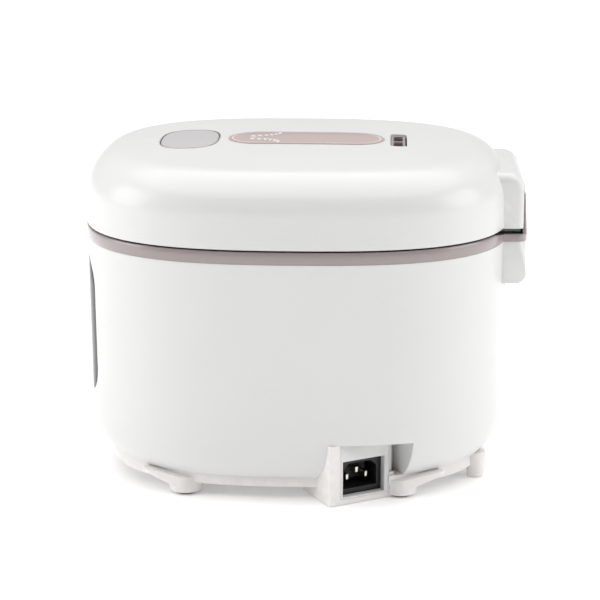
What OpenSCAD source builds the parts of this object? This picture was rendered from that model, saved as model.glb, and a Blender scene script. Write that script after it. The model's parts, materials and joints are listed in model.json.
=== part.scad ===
// Compact electric rice cooker with a hinged, latched lid.
// +Z is up and -X is the front. The feet stand on z = 0 and the origin is the middle of the footprint.

/* [Body] */
// Length of the oval body, front to back
body_len = 280; // [270:1:290]
// Width of the oval body
body_wid = 230; // [224:1:236]
// Squareness of the oval, where 2 is an ellipse
oval = 2.7; // [2.6:0.05:2.9]
// Height of the joint between body shell and trim band
shell_top = 160; // [158:1:161]
// Wall of the body shell
shell_wall = 2.5; // [2:0.1:3]
// Horizontal radius of the body's turned-in lower edge
tuck_in = 29; // [27:1:31]
// Vertical radius of the body's turned-in lower edge
tuck_up = 38; // [36:1:40]
// Height of the trim band round the rim
band_h = 8; // [7:0.5:8]

/* [Lid] */
// Highest point of the lid
lid_top = 219; // [217:1:222]
// Radius of the lid's shoulder
shoulder_r = 27; // [24:1:29]
// Rise of the lid's crown above its shoulder
crown_rise = 3; // [2:0.5:4]
// Wall of the lid shell
lid_wall = 2.4; // [2:0.1:3]
// How far the lid opens, in degrees
lid_opening = 90; // [80:1:90]

/* [Release button] */
// Length of the button, front to back
button_len = 39; // [36:1:41]
// Width of the button
button_wid = 62; // [60:1:68]
// Travel of the button
button_travel = 3; // [2:0.5:3]

/* [Label plate] */
// Length of the label plate
label_len = 104; // [98:1:106]
// Width of the label plate
label_wid = 41; // [36:1:44]

/* [Steam cap] */
// Length of the steam cap, front to back
cap_len = 10; // [9:0.5:10.5]
// Width of the steam cap
cap_wid = 41; // [36:1:44]

/* [Hinge] */
// Width of the hinge housing
hinge_wid = 90; // [86:1:92]
// Distance from the body's middle to the back of the hinge housing
hinge_back = 151; // [150:0.5:152]
// Radius of the hinge pin
pin_r = 2.5; // [2:0.1:3]

/* [Control panel] */
// Width of the dark control panel
panel_wid = 84; // [76:1:86]
// Height of the dark control panel
panel_h = 95; // [88:1:97]
// Corner radius of the control panel
panel_r = 19; // [12:1:24]

/* [Inner pot] */
// Outer radius of the pot
pot_r = 86; // [84:0.5:87]
// Wall of the pot
pot_wall = 2; // [1.5:0.1:3]
// Radius between the pot's base and its wall
pot_corner = 22; // [16:1:24]

/* [Power inlet] */
// Turn of the inlet towards the back, in degrees
inlet_turn = 30; // [25:1:32]
// Width of the inlet housing
inlet_wid = 47; // [46:0.5:49]

/* [Feet] */
// Distance of the feet from the middle, along X
foot_x = 70; // [66:1:74]
// Distance of the feet from the middle, along Y
foot_y = 85; // [82:1:87]

/* [Hidden] */

gap = 0.1;                       // clearance between mouldings that seat against each other
slack = 1;                       // how far a cutting shape runs past what it cuts
ring_points = 72;                // points round the oval
half_len = body_len / 2;
half_wid = body_wid / 2;
centre_x = -(hinge_back - half_len) / 2;  // puts the origin under the middle of the footprint

// Body levels
pan_bottom = 9;
pan_top = 15.4;
pan_floor = 2.5;
pan_inset = 14.5;
tuck_z = pan_bottom + tuck_up;   // where the body's wall starts to turn in
tuck_end = 56;                   // degrees of the lower edge that the shell keeps
draft = 0.01;                    // how far the body narrows per millimetre downwards
band_top = shell_top + band_h;
lid_bottom = band_top + 1.2;
deck_z = band_top - 2;

// Lid levels
crown_edge_z = lid_top - crown_rise;
shoulder_z = crown_edge_z - shoulder_r;
shoulder_end = 86;               // degrees, where the shoulder meets the crown's slope
skirt_lean = 0.03;               // how far the lid's side leans in per millimetre upwards
crown_a = half_len - shoulder_r - skirt_lean * (shoulder_z - lid_bottom);
crown_b = half_wid - shoulder_r - skirt_lean * (shoulder_z - lid_bottom);
liner_z = lid_bottom - 0.7;
liner_t = 3;
liner_top = liner_z + liner_t;

// Hinge
pivot_x = hinge_back - 10;
pivot_z = lid_top - 35;
housing_r = 7;
cover_back = hinge_back - 1.5;   // the trim plate stands out behind the cover at its foot
cover_fillet = 5.5;
housing_h = 26;
housing_z = shell_top - housing_h;
hinge_band_top = band_top - 3;
tower_top = lid_top - 25;
cover_top = lid_top - 14;
plate_gap = 2.4; // Over the plate, so that the cover clears it as the lid swings
cover_bottom = hinge_band_top + 3.7;
knuckle_r = 6;

// Pot and heater
flange_z = deck_z - 14;
flange_r = pot_r + 7;
plate_z = 40;
well_r = pot_r + 4.5;
well_z = 20;
element_r = 46;
sensor_r = 15;

// Button, label and steam cap places
button_x = -71;
label_x = 5.5;
cap_x = 66.5;
cap_notch = 1.7;                 // finger gap behind the steam cap
latch_x = -117;
latch_z = pivot_z;
post_x = button_x - 15;
latch_turn = asin(button_travel / (post_x - latch_x));

// Inlet place: its front left corner, then s along the face, n inwards
inlet_x = 25;
inlet_y = -half_wid;
inlet_deep = 37;
inlet_top = 41;
inlet_floor = 1;
niche_wid = 62;                  // moulded niche in the shell, wider than the housing
niche_deep = 16;
niche_r = 10;
socket_s = 24.85;                // middle of the socket along the face
socket_z = 17.4;
socket_wid = 30.7;
socket_h = 24.1;
socket_n = 5.3;                  // how far the socket sits back in its opening

// Finishes
shell_white = "#f1f0ee";
pan_white = "#ebe6df";
rose_taupe = "#b3a09c";
dark_plastic = "#3a3638";
steel = "#b9bbbd";

// ---------- Outlines and lofts ----------

// Points of an oval with half sizes a and b
function oval_points(a, b, count = ring_points) = [for (i = [0:count - 1])
    let (t = 360 * i / count, c = cos(t), s = sin(t))
    [a * sign(c) * pow(abs(c), 2 / oval), b * sign(s) * pow(abs(s), 2 / oval)]];

function lift(points, z) = [for (p = points) [p[0], p[1], z]];

// The body's oval, drawn in by inset, at height z
function body_ring(inset, z) = lift(oval_points(half_len - inset, half_wid - inset), z);

module oval_plan(inset) polygon(oval_points(half_len - inset, half_wid - inset));

// One closed surface through rings of equal point counts. A loop joins its last ring to its first.
module loft(rings, loop = false) {
    n = len(rings[0]);
    last = len(rings) - 1;
    points = [for (r = rings) for (p = r) p];
    sides = [for (k = [0:(loop ? last : last - 1)]) let (m = (k + 1) % len(rings)) for (i = [0:n - 1])
        let (j = (i + 1) % n) each [[k * n + i, m * n + i, m * n + j], [k * n + i, m * n + j, k * n + j]]];
    caps = loop ? [] : [[for (i = [0:n - 1]) i], [for (i = [n - 1:-1:0]) last * n + i]];
    polyhedron(points, concat(sides, caps), convexity = 8);
}

// Rectangle with round corners, centred, made of true arcs
module round_rect(x, y, r) {
    square([x - 2 * r, y], center = true);
    square([x, y - 2 * r], center = true);
    for (sx = [-1, 1], sy = [-1, 1]) translate([sx * (x / 2 - r), sy * (y / 2 - r)])
        circle(r = r, $fn = 48);
}

module disc(r, z0, z1, fn = 96) translate([0, 0, z0]) cylinder(r = r, h = z1 - z0, $fn = fn);

module block(x, y, z) translate([x[0], y[0], z[0]]) cube([x[1] - x[0], y[1] - y[0], z[1] - z[0]]);

// A profile drawn in X and Z, given depth along Y and centred on it
module side_profile(depth) rotate([90, 0, 0]) translate([0, 0, -depth / 2]) linear_extrude(depth) children();

module mirror_y() {
    children();
    mirror([0, 1, 0]) children();
}

// Round wire swept along a list of points
module wire(path, r, sides = 6) {
    n = len(path);
    rings = [for (i = [0:n - 1])
        let (a = path[max(i - 1, 0)], b = path[min(i + 1, n - 1)], d = (b - a) / norm(b - a),
            side = abs(d[2]) > 0.9 ? [1, 0, 0] : [0, 0, 1],
            u = cross(d, side) / norm(cross(d, side)), v = cross(d, u))
        [for (k = [0:sides - 1]) path[i] + r * (cos(360 * k / sides) * u + sin(360 * k / sides) * v)]];
    loft(rings);
}

// Centre line of a coil standing on Z
function coil(r, z0, z1, turns, per_turn = 10) = [for (i = [0:turns * per_turn])
    let (t = 360 * i / per_turn) [r * cos(t), r * sin(t), z0 + (z1 - z0) * i / (turns * per_turn)]];

// ---------- Body surfaces ----------

function wall_inset(z) = 0.4 + draft * (shell_top - z);

// Side of the body from the band down to the pan, set in by depth
function body_rings(depth, top, end = tuck_end) = concat(
    [for (z = [top, (top + tuck_z) / 2]) body_ring(wall_inset(z) + depth, z)],
    [for (t = [0:end / 8:end]) body_ring(wall_inset(tuck_z) + depth + (tuck_in - depth) * (1 - cos(t)),
        tuck_z - (tuck_up - depth) * sin(t))]);

function reversed(list) = [for (i = [len(list) - 1:-1:0]) list[i]];

module body_solid(depth = 0) loft(reversed(body_rings(depth, shell_top)));

// Height of the lid's crown over a point
function crown_z(x, y) = let (q = pow(pow(abs(x) / crown_a, oval) + pow(abs(y) / crown_b, oval), 1 / oval))
    crown_edge_z + crown_rise * (1 - min(q, 1) * min(q, 1));

// Rings of the lid from its rim up to the middle of its crown, set in by depth
function lid_rings(depth, bottom) = concat(
    [for (z = [bottom, shoulder_z]) let (lean = skirt_lean * (z - lid_bottom)) body_ring(lean + depth, z)],
    [for (i = [1:6])
        let (t = shoulder_end * i / 6, r = shoulder_r - depth, lean = skirt_lean * (shoulder_z - lid_bottom))
        body_ring(lean + depth + r * (1 - cos(t)), shoulder_z + r * sin(t))],
    [for (s = [0.9, 0.7, 0.4, 0.05])
        lift(oval_points(crown_a * s, crown_b * s), crown_edge_z - depth + crown_rise * (1 - s * s))]);

// An outline scaled by s, laid on the crown at a height above it, with a dome of its own
function plate_ring(outline, middle, s, up, dome) = [for (p = outline)
    let (x = middle + p[0] * s, y = p[1] * s) [x, y, crown_z(x, y) + up + dome * (1 - s * s)]];

// A thin plate that lies on the lid's crown. outline is its rim, under and over are heights from the crown
module crown_plate(outline, middle, under, over, dome = 0) loft(concat(
    [for (s = [0.05, 0.4, 0.7, 0.9, 1]) plate_ring(outline, middle, s, under, 0)],
    [for (s = [1, 0.9, 0.7, 0.4, 0.05]) plate_ring(outline, middle, s, over, dome)]));

function stadium(len, wid, steps = 12) = let (r = wid / 2, c = len / 2 - r) concat(
    [for (i = [0:steps]) let (t = -90 + 180 * i / steps) [c + r * cos(t), r * sin(t)]],
    [for (i = [0:steps]) let (t = 90 + 180 * i / steps) [-c + r * cos(t), r * sin(t)]]);

function button_outline(grow = 0) = oval_points(button_len / 2 + grow, button_wid / 2 + grow, 48);

// ---------- Base ----------

module at_feet() for (sx = [-1, 1], sy = [-1, 1]) translate([sx * foot_x, sy * foot_y, 0]) children();

screw_places = [[-100, -62], [-100, 62], [100, -62], [100, 62]];
leg_x = 120;
leg_y = 48;

// Foot boss with a leaf-shaped fairing that runs out to the end of the body
module foot(sx) {
    disc(11, 2, pan_bottom + pan_floor, 48);
    hull() {
        disc(11, 6, pan_bottom + 3, 32);
        translate([sx * 24, 0, 0]) disc(4, 13.5, 16, 32);
    }
}

module inlet_frame() translate([inlet_x, inlet_y, 0]) rotate(inlet_turn) children();

module base_pan() color(pan_white) difference() {
    union() {
        translate([0, 0, pan_bottom]) linear_extrude(pan_top - pan_bottom) oval_plan(pan_inset);
        for (sx = [-1, 1], sy = [-1, 1]) translate([sx * foot_x, sy * foot_y, 0]) foot(sx);
        // Guides for the power board
        mirror_y() intersection() {
            block([-116, -108.4], [43, 50], [pan_bottom, 36]);
            linear_extrude(40) oval_plan(19);
        }
        mirror_y() translate([leg_x, leg_y, 0.6]) cylinder(r1 = 5.4, r2 = 6.6, h = 17, $fn = 48);
        inlet_frame() block([0, inlet_wid], [0, inlet_deep], [inlet_floor, inlet_top]);
    }
    // Hollow inside of the tray
    difference() {
        translate([0, 0, pan_bottom + pan_floor]) linear_extrude(60) oval_plan(pan_inset + 2.5);
        for (p = screw_places) translate(p) disc(6, 0, pan_bottom + 5, 48);
        at_feet() disc(10, 0, pan_top, 48);
        mirror_y() translate([leg_x, leg_y, 0]) disc(7, 0, pan_top, 48);
        mirror_y() block([-116, -108.4], [43, 50], [0, 40]);
        inlet_frame() block([0, inlet_wid], [0, inlet_deep], [0, 80]);
    }
    for (p = screw_places) translate(p) {
        disc(4, 0, pan_bottom + 3, 32);
        disc(1.8, 0, 30, 32);
    }
    at_feet() disc(7.7, 0, 3.5, 48);
    block([-113.1, -111.3], [-48.1, 48.1], [14, 60]);
    // Air slots under the boards and under the heater
    for (x = [-104:8:-72]) block([x, x + 3], [-22, 22], [0, pan_bottom + pan_floor + slack]);
    for (x = [24:8:56]) block([x, x + 3], [-30, 30], [0, pan_bottom + pan_floor + slack]);
    inlet_frame() {
        block([2.4, inlet_wid - 2.4], [2.4, inlet_deep - 2.4], [inlet_floor + 2.4, inlet_top + slack]);
        block([7.4, 43.7], [-slack, 2.4 + slack], [3.9, inlet_top + slack]);
        // The right post steps back above the sill
        block([43.6, inlet_wid + slack], [-slack, 3], [socket_z, inlet_top + slack]);
        block([8, 40], [inlet_deep - 3, inlet_deep + slack], [10, inlet_top + slack]);
        // Lower at the back, to pass under the well
        block([-slack, inlet_wid + slack], [20, inlet_deep + slack], [plate_z - 9, inlet_top + slack]);
    }
}

module rubber_feet() color("#57504b") at_feet() {
    disc(7.5, 0, 3.4, 48);
}

module case_screws() color(steel) for (p = screw_places) translate(p) difference() {
    union() {
        disc(3.6, pan_bottom + 0.6, pan_bottom + 3, 32);
        disc(1.6, pan_bottom + 3, pan_bottom + 26, 32);
    }
    translate([0, 0, pan_bottom]) for (a = [0, 90]) rotate(a) cube([4.4, 1, 3], center = true);
}

// ---------- Body shell and rim ----------

panel_z = tuck_z + panel_h / 2;

module panel_prism(grow) translate([-half_len - 10, 0, panel_z]) rotate([90, 0, 90])
    linear_extrude(40) round_rect(panel_wid + 2 * grow, panel_h + 2 * grow, panel_r + grow);

// Plan of the niche that leaves room for the plug beside the inlet, drawn outwards by grow
module niche_plan(grow) {
    r = niche_r + grow;
    wid = niche_wid + grow;
    translate([0, -60]) square([wid - r, 60 + niche_deep + grow]);
    translate([0, -60]) square([wid, 60 + niche_deep + grow - r]);
    translate([wid - r, niche_deep + grow - r]) circle(r = r, $fn = 64);
}

module outer_shell() color(shell_white) difference() {
    body_solid(0);
    // Hollow inside, less the walls of the niche
    difference() {
        loft(reversed(body_rings(shell_wall, shell_top + slack, 75)));
        inlet_frame() difference() {
            linear_extrude(inlet_top + 2) intersection() {
                niche_plan(2);
                translate([inlet_wid - 20, -80]) square(160);
            }
            block([inlet_wid - 30, inlet_wid + gap], [-40, 40], [-slack, inlet_top]);
        }
    }
    panel_prism(0.2);
    inlet_frame() {
        block([-gap, inlet_wid + gap], [-60, inlet_deep + 10], [-slack, inlet_top + gap]);
        translate([0, 0, -slack]) linear_extrude(inlet_top + gap + slack) niche_plan(0);
    }
    block([100, 160], [-hinge_wid / 2 - gap, hinge_wid / 2 + gap],
        [shell_top - housing_h, shell_top + slack]);
    mirror_y() translate([leg_x, leg_y, 0]) disc(6.8, 0, 30, 48);
    for (sx = [-1, 1], sy = [-1, 1]) translate([sx * foot_x, sy * foot_y, 0]) hull() {
        disc(11.2, 0, pan_bottom + 3.2, 32);
        translate([sx * 24, 0, 0]) disc(4.2, 0, 16.2, 32);
    }
}

// Plan of the hinge housing, drawn in by inset, with two round back corners
module housing_plan(inset, front, rear = hinge_back) {
    w = hinge_wid / 2 - inset;
    back = rear - inset;
    r = housing_r - inset;
    translate([front, -w]) square([back - r - front, 2 * w]);
    translate([front, -w + r]) square([back - front, 2 * (w - r)]);
    for (s = [-1, 1]) translate([back - r, s * (w - r)]) circle(r = r, $fn = 64);
}

slope_start = hinge_wid / 2 + 1;
slope_end = hinge_wid / 2 + 17;

module trim_band() color(rose_taupe) {
    difference() {
        translate([0, 0, shell_top + gap]) linear_extrude(band_h - gap) difference() {
            oval_plan(0);
            oval_plan(2.4);
        }
        block([100, 160], [-hinge_wid / 2 + 0.5, hinge_wid / 2 - 0.5],
            [shell_top - slack, band_top + slack]);
        // Its top slopes down to the shelf under the hinge
        translate([100, 0, 0]) rotate([90, 0, 90]) linear_extrude(60)
            polygon([[-slope_end, band_top + slack], [-slope_end, band_top], [-slope_start, hinge_band_top],
                [slope_start, hinge_band_top], [slope_end, band_top], [slope_end, band_top + slack]]);
    }
    translate([0, 0, shell_top + gap]) linear_extrude(hinge_band_top - shell_top - gap) difference() {
        housing_plan(0, 131);
        housing_plan(2.2, 120);
    }
    // Plate that rises behind the hinge and leans into the cover
    intersection() {
        translate([0, 0, hinge_band_top]) linear_extrude(tower_top - hinge_band_top) intersection() {
            difference() {
                housing_plan(0.1, 131);
                housing_plan(2.9, 120);
            }
            translate([hinge_back - 6, -42]) square([10, 84]);
        }
        side_profile(hinge_wid) polygon([[hinge_back - 6, hinge_band_top], [hinge_back, hinge_band_top],
            [cover_back, tower_top - 2], [cover_back - 0.9, tower_top], [hinge_back - 6, tower_top]]);
    }
}

module rim_frame() color(dark_plastic) difference() {
    union() {
        // Deck, with its skirt inside the trim band
        translate([0, 0, deck_z - 3]) linear_extrude(3) oval_plan(2.5);
        translate([0, 0, deck_z - 12]) linear_extrude(11) difference() {
            oval_plan(3);
            oval_plan(5.4);
        }
        translate([0, 0, flange_z - 3]) cylinder(r1 = flange_r + 5.5, r2 = 107, h = deck_z - flange_z + 1,
            $fn = 96);
        // Rear shelf under the hinge
        translate([0, 0, shell_top + 1]) linear_extrude(hinge_band_top - shell_top - 1)
            housing_plan(2.4, 100);
        // Long pillars that the case screws pull on
        for (p = screw_places) translate(p) disc(4.6, pan_bottom + 5.2, deck_z - 1, 48);
    }
    // Mouth for the pot, with a seat for its flange
    disc(well_r - 2, 0, deck_z + slack);
    translate([0, 0, flange_z - gap]) cylinder(r = flange_r + 2.5, h = 3 + gap, $fn = 96);
    translate([0, 0, flange_z + 2.5]) cylinder(r1 = flange_r + 2.5, r2 = 103.5,
        h = deck_z - flange_z - 2.5, $fn = 96);
    translate([0, 0, deck_z - gap]) cylinder(r = 103.5, h = 5, $fn = 96);
    for (p = screw_places) translate(p) disc(1.65, 0, 40, 32);
    // Slot for the latch hook
    block([latch_x - 10, latch_x + 4], [-11.5, 11.5], [100, deck_z + slack]);
    mirror_y() translate([hinge_back - 14, 20, 0]) disc(1.55, 100, 200, 32);
    // Step down for the hinge bracket
    block([hinge_back - 24, 160], [-hinge_wid / 2 - 5, hinge_wid / 2 + 5],
        [hinge_band_top, deck_z + slack]);
    // Room for the rear housing and for the sides of the trim band behind the hinge
    block([112, 160], [-hinge_wid / 2 - 0.5, hinge_wid / 2 + 0.5], [0, shell_top + 1]);
    mirror_y() block([130, 160], [hinge_wid / 2 - 2.4, hinge_wid / 2 + 0.5], [0, deck_z + slack]);
}

module rear_housing() color(shell_white) difference() {
    intersection() {
        translate([0, 0, housing_z]) linear_extrude(housing_h) housing_plan(0, 126, cover_back);
        // The lower back edge is round
        side_profile(hinge_wid + 10) {
            translate([120, housing_z + housing_r]) square([cover_back - 120, housing_h - housing_r]);
            translate([120, housing_z]) square([cover_back - housing_r - 120, housing_h]);
            translate([cover_back - housing_r, housing_z + housing_r]) circle(r = housing_r, $fn = 64);
        }
    }
    block([120, cover_back - 4], [-hinge_wid / 2 + 2.5, hinge_wid / 2 - 2.5],
        [housing_z + 2.5, shell_top + slack]);
}

module hinge_bracket() color(steel) difference() {
    union() {
        block([hinge_back - 22, hinge_back - 4], [-38, 38], [hinge_band_top, hinge_band_top + 1.6]);
        mirror_y() {
            translate([pivot_x, 36, pivot_z]) rotate([90, 0, 0])
                cylinder(r = knuckle_r, h = 2, $fn = 64);
            block([pivot_x - knuckle_r, pivot_x + knuckle_r], [34, 36], [hinge_band_top, pivot_z]);
        }
    }
    translate([pivot_x, 50, pivot_z]) rotate([90, 0, 0]) cylinder(r = pin_r + 0.02, h = 100, $fn = 64);
    mirror_y() translate([hinge_back - 14, 20, 0]) disc(1.6, 0, 200, 32);
}

module bracket_screws() color(steel) mirror_y() translate([hinge_back - 14, 20, hinge_band_top + 1.6]) {
    disc(3, 0, 1.6, 32);
    disc(1.5, -4, 0, 32);
}

module hinge_pin() color(steel) translate([pivot_x, 0, pivot_z]) rotate([90, 0, 0]) {
    cylinder(r = pin_r, h = 78, center = true, $fn = 64);
    for (s = [-1, 1]) translate([0, 0, s * 38.3])
        cylinder(r = pin_r + 1.2, h = 1.4, center = true, $fn = 64);
}

// Torsion spring that lifts the lid, with one leg on the shelf
module hinge_spring() color(steel) translate([pivot_x, 0, pivot_z]) rotate([90, 0, 0])
    wire(concat([[3.9, hinge_band_top + 1.6 - pivot_z, -13.4], [3.9, -6, -13.3]], coil(3.9, -13, 13, 7, 8),
        [[3.9, 4, 13.2], [3.2, 9, 13.4]]), 0.8, 5);

module latch_keeper() color(steel) difference() {
    block([latch_x - 14, latch_x + 8], [-18, 18], [deck_z - 4.4, deck_z - 3.2]);
    block([latch_x - 10, latch_x + 2.7], [-11.5, 11.5], [100, 200]);
    mirror_y() translate([latch_x, 15, 0]) disc(1.4, 100, 200, 32);
}

// ---------- Pot and heater ----------

// Sheet cup round the pot, narrower round the heating plate
module pot_well() color("#c9cacb") difference() {
    rotate_extrude($fn = 96) polygon([[18, well_z], [72.8, well_z], [72.8, plate_z - 10],
        [well_r - 1.7, plate_z + 10], [well_r + 0.8, plate_z + 20], [well_r + 0.8, flange_z - 3.8],
        [well_r + 4, flange_z - 3.8], [well_r + 4, flange_z - 3], [well_r, flange_z - 3],
        [well_r, plate_z + 20], [well_r - 2.5, plate_z + 10], [72, plate_z - 10], [72, well_z + 0.8],
        [18, well_z + 0.8]]);
    for (a = [-12, 12]) rotate(a) translate([element_r, 0, 0]) disc(4, 0, 40, 32);
}

module side_heater() color("#a8442f") difference() {
    disc(well_r + 2.2, plate_z + 24, plate_z + 60);
    disc(well_r + 0.8, plate_z, plate_z + 80);
}

module heating_plate() color("#cfd0d1") {
    rotate_extrude($fn = 96) difference() {
        polygon([[sensor_r + 1, plate_z - 8], [40, plate_z - 8], [42, plate_z - 12], [50, plate_z - 12],
            [52, plate_z - 8], [66, plate_z - 8], [68, plate_z - 6], [68, plate_z - 1], [67, plate_z],
            [sensor_r + 1, plate_z]]);
        translate([element_r, plate_z - 11.4]) circle(r = 3.53, $fn = 48);
    }
    for (a = [60:120:300]) rotate(a) translate([58, 0, 0]) disc(4, well_z + 0.8, plate_z - 7, 48);
}

module heating_element() color("#8d8f91") {
    translate([0, 0, plate_z - 11.4]) rotate(10) rotate_extrude(angle = 340, $fn = 96)
        translate([element_r, 0]) circle(r = 3.5, $fn = 48);
    for (a = [-12, 12]) rotate(a) translate([element_r, 0, 0]) disc(2.2, 14, plate_z - 11, 32);
}

module thermal_fuse() color("#d8d2c4") translate([28, 0, plate_z - 10.1]) rotate([90, 0, 0]) {
    cylinder(r = 2.1, h = 14, center = true, $fn = 32);
    cylinder(r = 0.6, h = 26, center = true, $fn = 24);
}

module sensor_bracket() color(steel) rotate_extrude($fn = 96) {
    translate([3, 14]) square([16.4, 1.2]);
    translate([18.2, 14]) square([1.2, 6]);
    translate([18.2, 18.8]) square([5.8, 1.2]);
}

module sensor_cap() color("#d6d7d8") {
    difference() {
        disc(sensor_r, plate_z - 12, plate_z, 96);
        disc(sensor_r - 1, 0, plate_z - 1.6, 96);
    }
    difference() {
        disc(17.3, plate_z - 13.5, plate_z - 12, 96);
        disc(sensor_r - 1, 0, 40, 96);
    }
}

module sensor_thermistor() color("#7a4f36") disc(3, plate_z - 6, plate_z - 1.6, 48);

module sensor_spring() color(steel) wire(coil(10, 16, plate_z - 2.4, 5, 8), 0.75, 5);

function arc(cx, cz, r, from, to, steps) = [for (i = [0:steps]) let (t = from + (to - from) * i / steps)
    [cx + r * cos(t), cz + r * sin(t)]];

module inner_pot() color("#4a494b") {
    bottom = plate_z + gap;
    inner_r = pot_r - pot_wall;
    rotate_extrude($fn = 96) polygon(concat(
        [[0, bottom], [pot_r - pot_corner, bottom]],
        arc(pot_r - pot_corner, bottom + pot_corner, pot_corner, -80, 0, 8),
        [[pot_r, flange_z + 0.2], [flange_r - 0.6, flange_z + 0.2], [flange_r, flange_z + 0.8],
            [flange_r, flange_z + 1.4], [flange_r - 0.6, flange_z + 2], [inner_r + 1, flange_z + 2],
            [inner_r, flange_z + 1]],
        arc(pot_r - pot_corner, bottom + pot_corner, pot_corner - pot_wall, 0, -90, 8),
        [[0, bottom + pot_wall]]));
}

// ---------- Control panel and boards ----------

// Front of the body at a height and a sideways place
function front_x(y, z) = let (i = wall_inset(z))
    -(half_len - i) * pow(1 - pow(abs(y) / (half_wid - i), oval), 1 / oval);

function panel_outline(grow, steps = 6) =
    let (r = panel_r + grow, w = panel_wid / 2 + grow - r, h = panel_h / 2 + grow - r)
    [for (q = [0:3], i = [0:steps])
        let (t = 90 * q + 90 * i / steps, sw = (q == 0 || q == 3) ? 1 : -1, sh = q < 2 ? 1 : -1)
        [sw * w + r * cos(t), sh * h + r * sin(t)]];

// The panel's outline scaled by s, laid on the body's front and set in by depth
function panel_ring(s, depth, grow = 0) = [for (p = panel_outline(grow))
    let (y = -p[0] * s, z = panel_z + p[1] * s) [front_x(y, z) + depth, y, z]];

// The same outline laid flat at x
function flat_ring(s, x, grow) = [for (p = panel_outline(grow)) [x, -p[0] * s, panel_z + p[1] * s]];

module panel_lens() color("#1d1c20")
    loft(concat([for (s = [0.05, 0.35, 0.65, 1]) panel_ring(s, 2.4)],
        [for (s = [1, 0.65, 0.35, 0.05]) panel_ring(s, 0)]));

// Carrier behind the panel: its front follows the body's curve and laps the window's edge, its back is flat
module panel_carrier() color(dark_plastic) difference() {
    loft(concat([for (s = [0.05, 1]) flat_ring(s, -131, 3)],
        [for (s = [1, 0.65, 0.35, 0.05]) panel_ring(s, shell_wall + 0.6, 3)]));
    block([-150, -120], [-26, 26], [panel_z + 8, panel_z + 33]);
    at_keys() rotate([0, -90, 0]) cylinder(r = 5, h = 40, center = true, $fn = 48);
}

// Places of the six touch keys
module at_keys() for (y = [-24, 0, 24], z = [-12, -30]) translate([-131, y, panel_z + z]) children();

module display_board() color("#2f6b4a") difference() {
    block([-130.9, -129.3], [-38, 38], [tuck_z + 4, panel_z + 43]);
    mirror_y() for (z = [tuck_z + 8, panel_z + 39]) translate([-140, 34, z]) rotate([0, 90, 0])
        cylinder(r = 1.6, h = 20, $fn = 32);
}

module led_display() color("#26262a") block([-134.6, -130.9], [-25, 25], [panel_z + 9, panel_z + 32]);

// Sprung touch electrodes between display board and panel
module touch_pads() color("#6b6b6e") at_keys() rotate([0, -90, 0]) translate([0, 0, -0.1])
    cylinder(r = 4, h = 3.9, $fn = 48);

module power_board() color("#2f6b4a") difference() {
    block([-113, -111.4], [-48, 48], [14, 96]);
    mirror_y() translate([-140, 43, 91]) rotate([0, 90, 0]) cylinder(r = 1.6, h = 60, $fn = 32);
}

module board_components() {
    face = -113;
    color("#c8a23c") block([face - 10, face], [-34, -12], [62, 80]);
    color("#1f4f86") block([face - 10, face], [2, 22], [62, 78]);
    color("#2b2b2e") for (y = [29, 38]) translate([face, y, 68]) rotate([0, -90, 0])
        cylinder(r = 3.4, h = 10, $fn = 48);
    // Heat sink with its four fins
    color("#9a9c9e") block([face - 2, face], [-32, -12], [30, 52]);
    color("#9a9c9e") for (i = [0:3]) block([face - 9, face - 1], [-32 + 6 * i, -30 + 6 * i], [30, 52]);
    color("#d8d2c4") block([face - 6, face], [8, 30], [38, 50]);
}

// ---------- Power inlet ----------

module inlet_faceplate() color(shell_white) inlet_frame() difference() {
    union() {
        block([7.5, 43.6], [0, 2.2], [4, inlet_top - gap]);
        block([socket_s - socket_wid / 2 - 1.5, socket_s + socket_wid / 2 + 1.5], [0, socket_n],
            [4, socket_z + socket_h / 2 + 1.5]);
    }
    block([socket_s - socket_wid / 2, socket_s + socket_wid / 2], [-slack, socket_n + slack],
        [socket_z - socket_h / 2, socket_z + socket_h / 2]);
}

module inlet_socket() color("#17161a") inlet_frame() translate([socket_s, 0, socket_z]) difference() {
    union() {
        block([-16, 16], [socket_n + gap, socket_n + 2.6], [-12.4, 12.6]);
        block([-13.4, 13.4], [socket_n + 2, socket_n + 22], [-10.2, 10.2]);
    }
    // Cavity for the connector, with its two cut corners
    translate([0, socket_n - slack, 0]) rotate([-90, 0, 0]) linear_extrude(17) polygon([[-12.2, -4.4],
        [-8.2, -8.4], [8.2, -8.4], [12.2, -4.4], [12.2, 8.4], [-12.2, 8.4]]);
    for (p = pin_places) translate([p[0] - 1.1, 0, p[1] - 2.1]) cube([2.2, 60, 4.2]);
}

pin_places = [[-7, -2], [0, 2], [7, -2]];

module inlet_pins() color("#d5d2ca") inlet_frame() translate([socket_s, 0, socket_z]) for (p = pin_places)
    translate([p[0] - 1, socket_n + 4.2, p[1] - 2]) cube([2, 24, 4]);

function inlet_point(s, n, z) = [inlet_x + s * cos(inlet_turn) - n * sin(inlet_turn),
    inlet_y + s * sin(inlet_turn) + n * cos(inlet_turn), z];

lead_colours = ["#7a5230", "#4f8a3c", "#3b6fb5"];

// Three leads along the tray, from the inlet's pins to the power board
module mains_leads() for (i = [0:2]) color(lead_colours[i])
    wire([for (n = [33.5, 36]) inlet_point(socket_s + pin_places[i][0], n, socket_z + pin_places[i][1]),
        inlet_point(socket_s + pin_places[i][0], 39, 16),
        inlet_point(socket_s + pin_places[i][0] - 4, 43, 12.9),
        [-20, -70 + 5 * i, 12.9], [-70, -52 + 5 * i, 12.9], [-98, -36 + 5 * i, 13.5],
        [-105, -33 + 5 * i, 20], [-108, -32 + 5 * i, 25], [-110, -32 + 5 * i, 26],
        [-111.4, -32 + 5 * i, 26]], 1.3);

// ---------- Lid ----------

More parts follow.
